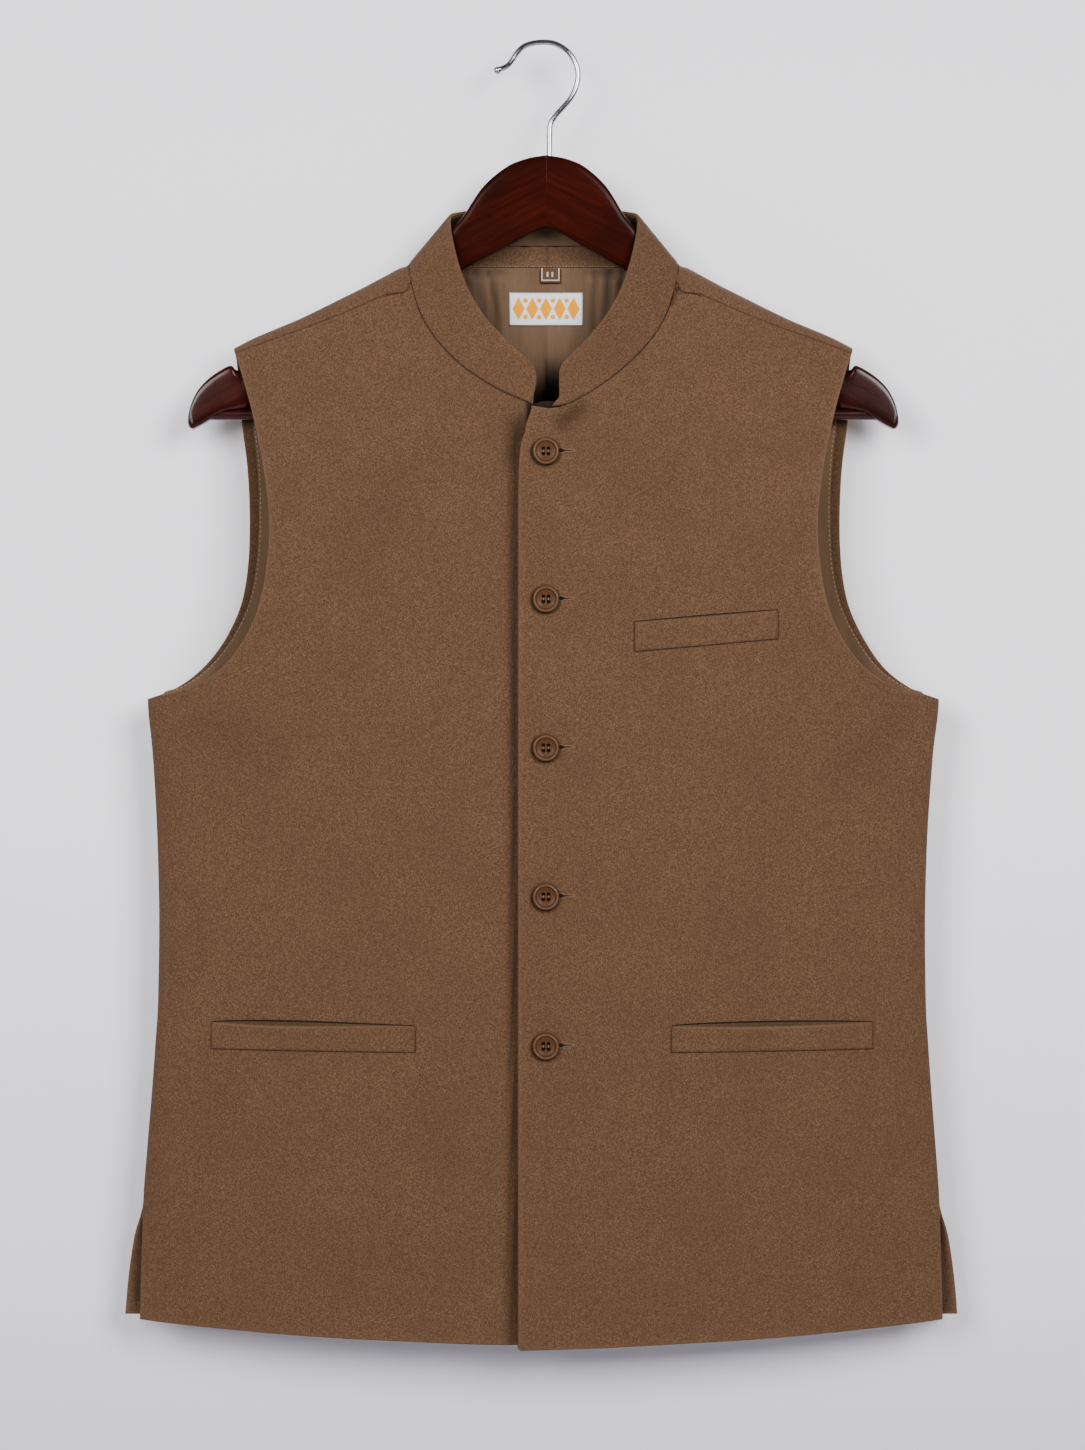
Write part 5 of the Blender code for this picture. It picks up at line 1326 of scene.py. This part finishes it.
def drill_holes(blank, face, height):
    """Drills the four holes and softens their edges."""
    drill = joined("drill", [
        rod([(BUTTON_X + dx, face + back, height + dz) for back in (1.0, -1.0, -4.0)],
            HOLE_RADIUS, HOLE_SIDES)
        for dx in (-HOLE_STEP, HOLE_STEP) for dz in (-HOLE_STEP, HOLE_STEP)], casein)
    holes = blank.modifiers.new("holes", "BOOLEAN")
    holes.operation = "DIFFERENCE"
    holes.solver = "EXACT"
    holes.object = drill
    soften = blank.modifiers.new("soften", "BEVEL")
    soften.width = 0.00014
    soften.segments = 2
    soften.limit_method = "ANGLE"
    soften.angle_limit = 1.0
    drilled = bpy.data.meshes.new_from_object(
        blank.evaluated_get(bpy.context.evaluated_depsgraph_get()))
    blank.modifiers.clear()
    blank.data = drilled
    drilled.polygons.foreach_set("use_smooth", np.ones(len(drilled.polygons), bool))
    drilled.set_sharp_from_angle(angle=0.7)
    bpy.data.objects.remove(drill, do_unlink=True)


def strand(x, face, height):
    """One strand of thread over the bridge between two holes, dipping into both."""
    edge = HOLE_STEP - HOLE_RADIUS
    path = []
    for rise in (-edge - 0.4, -edge - 0.2, -edge - 0.02, -edge + 0.2, 0.0,
                 edge - 0.2, edge + 0.02, edge + 0.2, edge + 0.4):
        dip = face - 2.0 + 0.8 * max(0.0, abs(rise) - edge + 0.12)
        path.append((x, face - 0.1 if abs(rise) > edge + 0.25 else dip, height + rise))
    return rod(path, STRAND_RADIUS)


for number, height in enumerate(BUTTON_HEIGHTS, start=1):
    face = float(front_deep(BUTTON_X, height, 1)) - BUTTON_GAP
    button = turned_button(number, face, height)
    drill_holes(button, face, height)
    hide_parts("button_%d" % number)
    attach(button, "root")
    threads = joined("button_%d_thread" % number,
                     [strand(BUTTON_X + dx + slip, face, height) for dx in (-HOLE_STEP, HOLE_STEP)
                      for slip in (-STRAND_APART, STRAND_APART)], BRIDGE_THREAD)
    # the thread shank is made in the near-black felt painted as the shade under the button
    shank = [(BUTTON_X, face + back, height) for back in (1.1, 0.5, -0.02, -0.06)]
    neck = joined("button_%d_shank" % number, [rod(shank, (1.9, 1.7, 3.6, 3.4), 24)], PAINTED_SHADOW_FELT)
    # a thin patch of the same wool round each button carries a painted shadow in a
    # ring round it, deepest below it toward the wearer's right
    turn = np.linspace(0.0, 2.0 * math.pi, 73)
    ring = on_front(1, BUTTON_X + RING_REACH * np.cos(turn), height + RING_REACH * np.sin(turn))
    ring[..., 1] += -0.14 + 0.22 * past(RING_REACH, 10.4, 3.1)
    lower = 0.5 + 0.5 * np.cos(turn - 1.25 * math.pi)[None, :]
    shadow = (0.55 + 0.75 * lower) * hump(over_zero(RING_REACH - BUTTON_RADIUS), 0.7 + 1.1 * lower)
    shadow_patch = cloth("button_%d_dimple" % number, ring, np.broadcast_to((0.0, -1.0, 0.0), ring.shape),
                   0.0, 0.2, (WOOL,), shade=shadow, painted_edge_tone=-2.0)
    for piece in (threads, neck, shadow_patch):
        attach(piece, "root")


# ---------------------------------------------------------- buttonholes
# Keyhole buttonholes lie level behind each button. What shows beside the button
# is the dark eye, then the slit closed between two rows of tonal silk stitches.
def stitch_tree(name):
    """Stitches along a line: each a small spindle, turned to lie along or across it."""
    tree = bpy.data.node_groups.new(name, "GeometryNodeTree")
    sockets = {}
    for word, kind in (("Line", "Geometry"), ("Stitch Spacing", "Float"),
                       ("Stitch Length", "Float"), ("Thread Radius", "Float"), ("Turn", "Float"),
                       ("Unevenness", "Float"), ("Thread", "Material"), ("Stitches", "Geometry")):
        sockets[word] = tree.interface.new_socket(
            name=word, in_out="OUTPUT" if word == "Stitches" else "INPUT",
            socket_type="NodeSocket" + kind).identifier
    given = tree.nodes.new("NodeGroupInput").outputs
    line = add(tree, "GeometryNodeMeshToCurve", {0: given["Line"]})
    spaced = add(tree, "GeometryNodeResampleCurve", {
        "Curve": line.outputs[0], 3: given["Stitch Spacing"]}, mode="LENGTH")
    ball = add(tree, "GeometryNodeMeshUVSphere", {"Segments": 8, "Rings": 5, "Radius": 1.0})
    size = add(tree, "ShaderNodeCombineXYZ", {
        "X": sums(tree, given["Stitch Length"], 0.5, "MULTIPLY"),
        "Y": given["Thread Radius"], "Z": given["Thread Radius"]})
    tangent = tree.nodes.new("GeometryNodeInputTangent")
    aligned = add(tree, "FunctionNodeAlignRotationToVector", {"Vector": tangent.outputs[0]},
                  axis="X", pivot_axis="Y")
    chance = add(tree, "FunctionNodeRandomValue", {"Seed": 7})
    swing = sums(tree, sums(tree, chance.outputs[1], 0.5, "SUBTRACT"), given["Unevenness"],
                 "MULTIPLY")
    turn_by = add(tree, "FunctionNodeAxisAngleToRotation", {
        "Axis": (0.0, 1.0, 0.0), "Angle": sums(tree, given["Turn"], swing)})
    turned = add(tree, "FunctionNodeRotateRotation", {
        "Rotation": aligned.outputs[0], "Rotate By": turn_by.outputs[0]}, rotation_space="LOCAL")
    placed = add(tree, "GeometryNodeInstanceOnPoints", {
        "Points": spaced.outputs[0], "Instance": ball.outputs[0], "Rotation": turned.outputs[0],
        "Scale": size.outputs[0]})
    whole = add(tree, "GeometryNodeRealizeInstances", {"Geometry": placed.outputs[0]})
    smooth = add(tree, "GeometryNodeSetShadeSmooth", {0: whole.outputs[0]})
    coloured = add(tree, "GeometryNodeSetMaterial", {
        "Geometry": smooth.outputs[0], "Material": given["Thread"]})
    tree.links.new(coloured.outputs[0], tree.nodes.new("NodeGroupOutput").inputs[0])
    return tree, sockets


STITCHES, STITCH_INPUT = stitch_tree("stitch_line")


def stitched(name, lines, spacing, length, radius, thread, turn=0.0, uneven=0.15):
    """Sews one piece of stitches along several lines of points in millimetres."""
    points, edges = [], []
    for line in lines:
        edges += [(len(points) + k, len(points) + k + 1) for k in range(len(line) - 1)]
        points += [tuple(float(c) * MM for c in p) for p in line]
    mesh = bpy.data.meshes.new(name)
    mesh.from_pydata(points, edges, [])
    piece = bpy.data.objects.new(name, mesh)
    bpy.context.scene.collection.objects.link(piece)
    sewing = piece.modifiers.new("sewing", "NODES")
    sewing.node_group = STITCHES
    for socket, value in (("Stitch Spacing", spacing * MM), ("Stitch Length", length * MM),
                          ("Thread Radius", radius * MM), ("Turn", turn), ("Unevenness", uneven),
                          ("Thread", thread)):
        sewing[STITCH_INPUT[socket]] = value
    bpy.context.view_layer.update()
    piece.data = bpy.data.meshes.new_from_object(
        piece.evaluated_get(bpy.context.evaluated_depsgraph_get()))
    piece.modifiers.clear()
    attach(piece, "root")


HOLE_FROM, EYE_AT, HOLE_END = 3.0, 10.4, 19.4
BUTTONHOLE_RISE = 0.6              # each button hangs a little below its buttonhole
EYE = np.array([
    # across, half height; it runs on into the slit, which stays open a hair
    (8.2, 0.5), (8.9, 1.0), (9.8, 1.3), (10.8, 1.3), (11.7, 1.0), (12.5, 0.55), (13.4, 0.34),
    (15.0, 0.22), (16.6, 0.12)])


def hole_edge(level, tall, lift):
    """The buttonhole's edge as a long loop, open under the button."""
    side = np.linspace(HOLE_FROM, HOLE_END - 0.8, 24)
    x = np.concatenate([side, [HOLE_END, HOLE_END], side[::-1]])
    way = np.array([1.0] * 24 + [0.45, -0.45] + [-1.0] * 24)
    edge = on_front(1, x, level + tall * (1.0 + 0.75 * hump(x - EYE_AT, 1.7)) * way)
    edge[:, 1] -= lift
    return edge


for number, height in enumerate(BUTTON_HEIGHTS, start=1):
    level = height + BUTTONHOLE_RISE
    stitched("buttonhole_%d_silk" % number, [hole_edge(level, 0.62, 0.16)], 0.36, 1.3, 0.17,
             BROWN_THREAD, math.pi / 2.0, 0.35)
    stitched("buttonhole_%d_cord" % number, [hole_edge(level, 0.95, 0.10)], 0.8, 1.0, 0.16,
             BROWN_THREAD, 0.0, 0.2)
    # the eye: a near-black piece painted as the shadow inside the hole
    x = np.concatenate([EYE[:, 0], EYE[::-1, 0]])
    rim = on_front(1, x, level + np.concatenate([EYE[:, 1], -EYE[::-1, 1]]))
    points = np.concatenate([rim - (0.0, 0.32, 0.0), rim + (0.0, 0.2, 0.0)])
    count = len(x)
    faces = [tuple(range(count)), tuple(range(2 * count - 1, count - 1, -1))]
    faces += [(k, count + k, count + (k + 1) % count, (k + 1) % count) for k in range(count)]
    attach(joined("buttonhole_%d_eye" % number, [(points, faces)], PAINTED_SHADOW_FELT), "root")


# ------------------------------------------------------------ hand and machine sewing
# Pale thread fells the satin to the wool along the neck strip and the armholes,
# white thread holds the label, and tonal bar tacks hold the ends of the lower
# pocket mouths.
PALE_THREAD = spun("pale_thread", 0.55, (2400.0, 1800.0, 2400.0), (0.30, 0.20, 0.135),
                   (0.56, 0.42, 0.31), 0.3, Sheen_Weight=0.2, Sheen_Roughness=0.4)
WHITE_THREAD, tree, shader, where = look_of("white_thread", 0.5)
twist = noise(tree, where, 2400.0, 2.0, 0.5)
feed(tree, shader.inputs["Base Color"],
     tones(tree, twist, (0.3, (0.55, 0.55, 0.55)), (0.7, (0.82, 0.82, 0.82))))


def line_on_back(rows, columns, inward):
    """Lines inside the back through broken rows and columns."""
    grid = back_panel(rows, columns, False)
    return grid - face_normals(grid) * inward


neck_line = line_on_back([BAND_ROWS - 0.6, BAND_ROWS - 0.22, BAND_ROWS + 0.1],
                         np.linspace(9.3, 18.7, 60), LINING_NEAR + 1.25)[1]
stitched("neck_strip_stitches", [neck_line], 1.9, 1.5, 0.13, PALE_THREAD)

# down each armhole the stitches move further in as the lining is cut back
arm_rows = np.linspace(BAND_ROWS + 0.4, BACK_UNDERARM - 0.6, 120)
lower = past(arm_rows, 9.5, 2.5)[:, None]
lines = []
for above, below in ((0.34, 0.61), (27.66, 27.39)):
    upper, under = (line_on_back(arm_rows, [at - 0.16, at, at + 0.16],
                                 LINING_NEAR + LINING_THICK + 0.05)[:, 1] for at in (above, below))
    lines.append(upper * (1.0 - lower) + under * lower)
stitched("armhole_felling", lines, 3.0, 1.9, 0.14, PALE_THREAD)

x0, x1, z0, z1 = np.array(LABEL_CORNERS) + (0.8, -0.8, 0.7, -0.7)
corners = ((x0, z0), (x1, z0), (x1, z1), (x0, z1), (x0, z0))
lines = []
for start, end in zip(corners[:-1], corners[1:]):
    x, z = (np.linspace(a, b, 24) for a, b in zip(start, end))
    lines.append(np.stack([x, under_lining(x, z) - LABEL_NEAR - TAPE_THICK - 0.06, z], axis=1))
stitched("label_stitches", lines, 1.7, 1.2, 0.10, WHITE_THREAD)

tacks = []
for _, _, hand, corners, _ in WELTS[1:]:
    for out in (corners[0][0] + 0.2, corners[1][0] - 0.2):
        tack = on_front(hand, np.full(8, out),
                        np.linspace(corners[0][1] + 1.2, corners[0][1] - 2.6, 8))
        tacks.append(tack - (0.0, WELT_PROUD * 0.8, 0.0))
stitched("pocket_bar_tacks", tacks, 0.5, 1.0, 0.14, BROWN_THREAD, math.pi / 2.0, 0.3)


# ---------------------------------------------------------------- the hanger
# Two arms of mahogany-stained wood, mitred and glued in the hub, with leaf ends,
# a loop notch near each end, and a bar between them. Rubbed, then lacquered.
ARM_HALF_THICK = 6.0
ARM_SIDES = 64
HUB_SHIFT = 1.5
ARM = (
    # top out, top height, lower out, lower height
    (0.0, -70.4, 0.0, -116.5), (5.2, -71.1, 3.2, -117.3), (10.6, -72.1, 6.6, -118.6),
    (16.5, -73.9, 10.6, -120.4), (22.5, -76.4, 15.0, -122.8), (29.0, -80.8, 20.4, -126.0),
    (35.0, -86.0, 26.0, -129.0), (40.6, -92.2, 32.0, -132.2), (45.9, -100.3, 38.0, -135.6),
    (51.2, -108.9, 44.6, -139.2), (59.0, -117.6, 52.0, -143.4), (70.0, -130.8, 61.5, -149.4),
    (84.0, -145.8, 75.5, -158.4), (100.0, -155.2, 92.5, -169.0), (127.0, -169.4, 119.5, -183.6),
    (155.0, -185.2, 148.0, -199.8), (180.0, -200.4, 173.5, -217.0),
    (190.6, -206.8, 186.0, -230.6), (195.4, -206.9, 192.6, -232.2),
    (198.7, -204.2, 199.0, -232.9), (205.2, -207.2, 205.4, -235.0),
    (212.6, -212.4, 212.2, -238.8), (218.9, -219.0, 217.2, -241.9),
    (223.2, -227.0, 220.4, -243.6), (225.4, -235.0, 222.4, -244.6), (225.9, -241.0, 224.0, -244.4))
LEAF_LINE = 16.0           # the line of ARM where the leaf end begins
ARM_THICKNESS = (
    # line, share of the full thickness
    (0.0, 1.0), (23.4, 1.0), (24.2, 0.94), (24.7, 0.84), (25.0, 0.68))


def lacquered(name, lean, shine, rough):
    """Dark red-brown wood: streaks along the arm, open pores, a thin lacquer worked
    down by rubbing, and shade painted along the arm's top and bottom edges.
    """
    made, tree, shader, where = look_of(name, 0.2, Specular_IOR_Level=shine)
    grain = noise(tree, stretched(tree, where, (8.0, 60.0, 190.0), (0.0, lean, 0.0)),
                  1.0, 5.0, 0.66, 0.7)
    pores = noise(tree, stretched(tree, where, (90.0, 900.0, 1900.0), (0.0, lean, 0.0)),
                  1.0, 3.0, 0.6)
    cloud = noise(tree, where, 22.0, 3.0, 0.55)
    tone = weighed(tree, None, (grain, 0.75), (pores, 0.25))
    colour = tones(tree, tone, (0.30, (0.0125, 0.0017, 0.0011)), (0.50, (0.0265, 0.0031, 0.0013)),
                   (0.70, (0.045, 0.0058, 0.0023)))
    colour = mixed(tree, spread_out(tree, cloud, 0.40, 0.66, 0.6), colour, (0.0105, 0.0022, 0.0014))
    # painted shade along the top and bottom edges of the arm
    painted_edge_tone = weighed(tree, None, (marked(tree, "edge"), 0.45))
    feed(tree, shader.inputs["Base Color"], mixed(tree, painted_edge_tone, colour, (0.0065, 0.0014, 0.0010)))
    feed(tree, shader.inputs["Roughness"], weighed(tree, rough, (pores, 0.14)))
    raise_by(tree, shader, tone, 0.10, 0.0003)
    return made


def squared(value, power):
    """Pulls a sine or cosine out toward a square as the power falls below 1."""
    return math.copysign(abs(value) ** power, value)


arm_lines = np.array(lines_between(0, LEAF_LINE, 4) + lines_between(LEAF_LINE, 25, 8)[1:])
arm_rows = between(np.array(ARM), arm_lines)
for hand, node in ((1, "hanger_arm_left"), (-1, "hanger_arm_right")):
    points, marks = [], []
    for line, (top_out, top_high, low_out, low_high) in zip(arm_lines, arm_rows):
        top, low = np.array([top_out, top_high]), np.array([low_out, low_high])
        centre, half = 0.5 * (top + low), 0.5 * (top - low)
        reach = centre[0]
        thick = ARM_HALF_THICK * float(read_off(ARM_THICKNESS, line))
        # squarer in the hub, rounder along the arm, and squarer again in the leaf
        power = 0.36 + 0.61 * float(past(reach, 50.0, 26.0)) - 0.62 * float(
            past(line, LEAF_LINE, 3.0))
        aside = HUB_SHIFT * (1.0 - float(ease(reach / 60.0))) - 0.5 * float(ease(reach / 150.0))
        for k in range(ARM_SIDES):
            turn = 2.0 * math.pi * k / ARM_SIDES
            c, s = math.cos(turn), math.sin(turn)
            out, high = centre + half * squared(c, power)
            points.append((hand * max(out, 0.01) + aside, thick * squared(s, power), high))
            # the edge mark, where shade is painted along the arm's top and bottom edges
            marks.append(abs(c) ** 8)
    count = len(arm_lines)
    faces = ring_faces(count, ARM_SIDES, False)
    # a flat mitre in the hub, and a leaf end a little domed
    for end, bulge in ((0, (0.0, 0.0, 0.0)), (count - 1, (0.6 * hand, 0.0, -0.5))):
        first, middle = end * ARM_SIDES, len(points)
        points.append(tuple(np.mean(points[first:first + ARM_SIDES], axis=0) + bulge))
        marks.append(0.0)
        faces += [(first + k, first + (k + 1) % ARM_SIDES, middle) for k in range(ARM_SIDES)]
    # the leaf end is handled most, so it is the brightest rubbed
    side_name = "left" if hand > 0 else "right"
    woods = (lacquered("mahogany_" + side_name, hand * 0.47, 0.06, 0.14),
             lacquered("mahogany_leaf_" + side_name, hand * 0.47, 0.26, 0.11))
    leaf = (np.repeat(arm_lines[:-1] >= LEAF_LINE, ARM_SIDES).tolist()
            + [False] * ARM_SIDES + [True] * ARM_SIDES)
    arm = mesh_piece(node + "_wood", points, faces, woods, leaf, {"edge": marks})
    turned_outward(arm)
    arm.data.set_sharp_from_angle(angle=1.0)
    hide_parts(node)
    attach(arm, "root")

BAR_RADIUS, BAR_HEIGHT, BAR_SIDES = 3.6, -235.1, 40
BAR_END_SLOPE = 1.64       # its ends are cut to the slope of the arms
BAR_PLACES = ((-1, 205.9), (-1, 200.0), (-1, 196.0), (-1, 120.0), (-1, 40.0), (1, 40.0),
              (1, 120.0), (1, 196.0), (1, 200.0), (1, 205.9))
points = []
for hand, at in BAR_PLACES:
    slope = BAR_END_SLOPE if at > 190.0 else 0.0
    for k in range(BAR_SIDES):
        turn = 2.0 * math.pi * k / BAR_SIDES
        high = BAR_RADIUS * math.cos(turn)
        points.append((hand * (at - high * slope) - 0.5, BAR_RADIUS * math.sin(turn),
                       BAR_HEIGHT + high))
bar = joined("trouser_bar_wood", [(points, ring_faces(len(BAR_PLACES), BAR_SIDES))],
             lacquered("mahogany_bar", 0.0, 0.3, 0.12), sharp=1.0)
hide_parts("hanger_bar")
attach(bar, "root")


# ---------------------------------------------------------------- the hook
# Bright steel wire, bent cold round a former into an open hook. Its foot is
# screwed into the hub, and its free end is rounded off in a small bead.
HOOK = (
    # across, height
    (3.4, -76.0), (3.4, -69.8), (3.5, -62.0), (3.6, -56.0), (4.1, -50.4), (7.0, -45.4),
    (11.7, -40.1), (16.6, -34.3), (20.0, -28.0), (21.6, -21.0), (21.0, -14.2), (17.6, -7.0),
    (11.7, -1.4), (5.7, 1.3), (-0.5, 1.85), (-7.6, 1.1), (-13.1, -1.0),
    (-17.5, -5.4), (-20.4, -9.9), (-23.5, -13.3), (-27.6, -15.2))
WIRE_RADIUS = 1.85
BEAD = (
    # beyond the end of the line, radius
    (0.4, 1.95), (0.9, 2.25), (1.6, 2.5), (2.3, 2.6), (3.0, 2.5), (3.6, 2.2), (4.1, 1.7),
    (4.5, 1.1), (4.7, 0.5))
steel, tree, shader, where = look_of("bright_steel", 0.10, Metallic=1.0)
scratch = noise(tree, stretched(tree, where, (900.0, 900.0, 240.0)), 1.0, 3.0, 0.6)
feed(tree, shader.inputs["Base Color"],
     tones(tree, scratch, (0.3, (0.36, 0.37, 0.38)), (0.7, (0.50, 0.51, 0.52))))
feed(tree, shader.inputs["Roughness"], weighed(tree, 0.06, (scratch, 0.12)))
raise_by(tree, shader, scratch, 0.04, 0.0001)
line = along(HOOK, np.linspace(0.0, 1.0, 160))
line = np.stack([line[:, 0], np.zeros(len(line)), line[:, 1]], axis=1)
radii = [WIRE_RADIUS] * len(line) + [radius for _, radius in BEAD]
onward = unit(line[-1] - line[-2])
line = np.concatenate([line, [line[-1] + onward * beyond for beyond, _ in BEAD]])
hook = joined("hook_wire", [rod(line, radii, 32)], steel)
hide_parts("hanger_hook")
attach(hook, "root")


# ------------------------------------------------ camera, lamps, floor and wall
# A plain studio: one pale sheet that is both wall and floor, a large soft lamp
# high to the right, a weaker one to the left, and a dim one behind for the back.
PICTURE_REACH = 0.9229     # the height seen at the hanger's plane, in metres
CAMERA_BACK = 2.3
camera_data = bpy.data.cameras.new("camera")
camera_data.sensor_width = 36.0
camera_data.lens = 36.0 * CAMERA_BACK / PICTURE_REACH
camera_data.clip_end = 50.0
camera = bpy.data.objects.new("camera", camera_data)
camera.location = (-0.00095, -CAMERA_BACK, -0.4328)
camera.rotation_euler = (math.pi / 2.0, 0.0, 0.0)
bpy.context.scene.collection.objects.link(camera)
bpy.context.scene.camera = camera

# the paper is only seen from its front, so that a view from behind looks through it
paper, tree, shader, where = look_of("studio_paper", 0.9, Specular_IOR_Level=0.1)
grain = noise(tree, where, 3.0, 2.0, 0.5)
# the paper is painted darker toward the floor and a little toward its top, as shade where the
# lamps' light falls off
level = add(tree, "ShaderNodeSeparateXYZ", {"Vector": where}).outputs[2]
level = weighed(tree, spread_out(tree, level, -1.0, 0.2, 1.0), (grain, 0.03))
feed(tree, shader.inputs["Base Color"], tones(
    tree, level, (0.0, (0.62, 0.606, 0.645)), (0.22, (0.860, 0.838, 0.905)),
    (0.45, (0.985, 0.960, 1.0)), (0.80, (0.985, 0.962, 1.0)), (0.97, (0.905, 0.884, 0.945))))
clear = tree.nodes.new("ShaderNodeBsdfTransparent")
both_sides = tree.nodes.new("ShaderNodeMixShader")
behind = add(tree, "ShaderNodeNewGeometry").outputs["Backfacing"]
for socket, fed in zip(both_sides.inputs, (behind, shader.outputs[0], clear.outputs[0])):
    tree.links.new(fed, socket)
tree.links.new(both_sides.outputs[0], tree.nodes["Material Output"].inputs["Surface"])
WALL_AT, FLOOR_AT, COVE = 0.031, -1.5, 0.25
profile = [(WALL_AT, 1.6), (WALL_AT, 0.8), (WALL_AT, FLOOR_AT + COVE)]
profile += [(WALL_AT - COVE + COVE * math.cos(a), FLOOR_AT + COVE - COVE * math.sin(a))
            for a in np.linspace(0.0, math.pi / 2.0, 17)[1:]]
profile += [(-2.0, FLOOR_AT), (-5.0, FLOOR_AT)]
points = [(x / MM, y / MM, z / MM) for y, z in profile for x in (-1.6, 1.6)]
faces = [(2 * i, 2 * i + 2, 2 * i + 3, 2 * i + 1) for i in range(len(profile) - 1)]
studio_sheet = mesh_piece("studio_sheet", points, faces, (paper,))
studio_sheet.visible_shadow = False

LAMPS = (
    # name, place, size, strength, colour
    ("key_lamp", (1.15, -2.1, 0.42), 1.15, 39.0, (0.985, 0.985, 1.0)),
    ("fill_lamp", (-1.2, -2.1, 0.32), 1.2, 34.0, (0.975, 0.982, 1.0)),
    ("back_lamp", (0.6, 2.6, 0.7), 1.8, 62.0, (1.0, 1.0, 1.0)))
LIT = mathutils.Vector((0.0, 0.0, -0.25))
for name, place, size, strength, colour in LAMPS:
    light = bpy.data.lights.new(name, "AREA")
    light.shape = "SQUARE"
    light.size = size
    light.energy = strength
    light.color = colour
    light.spread = math.radians(130.0)
    lamp = bpy.data.objects.new(name, light)
    lamp.location = place
    lamp.rotation_mode = "QUATERNION"
    lamp.rotation_quaternion = (LIT - mathutils.Vector(place)).to_track_quat("-Z", "Y")
    bpy.context.scene.collection.objects.link(lamp)

world = bpy.data.worlds.new("studio_air")
world.use_nodes = True
air = world.node_tree.nodes["Background"]
air.inputs["Color"].default_value = (0.86, 0.87, 0.90, 1.0)
air.inputs["Strength"].default_value = 0.10
bpy.context.scene.world = world
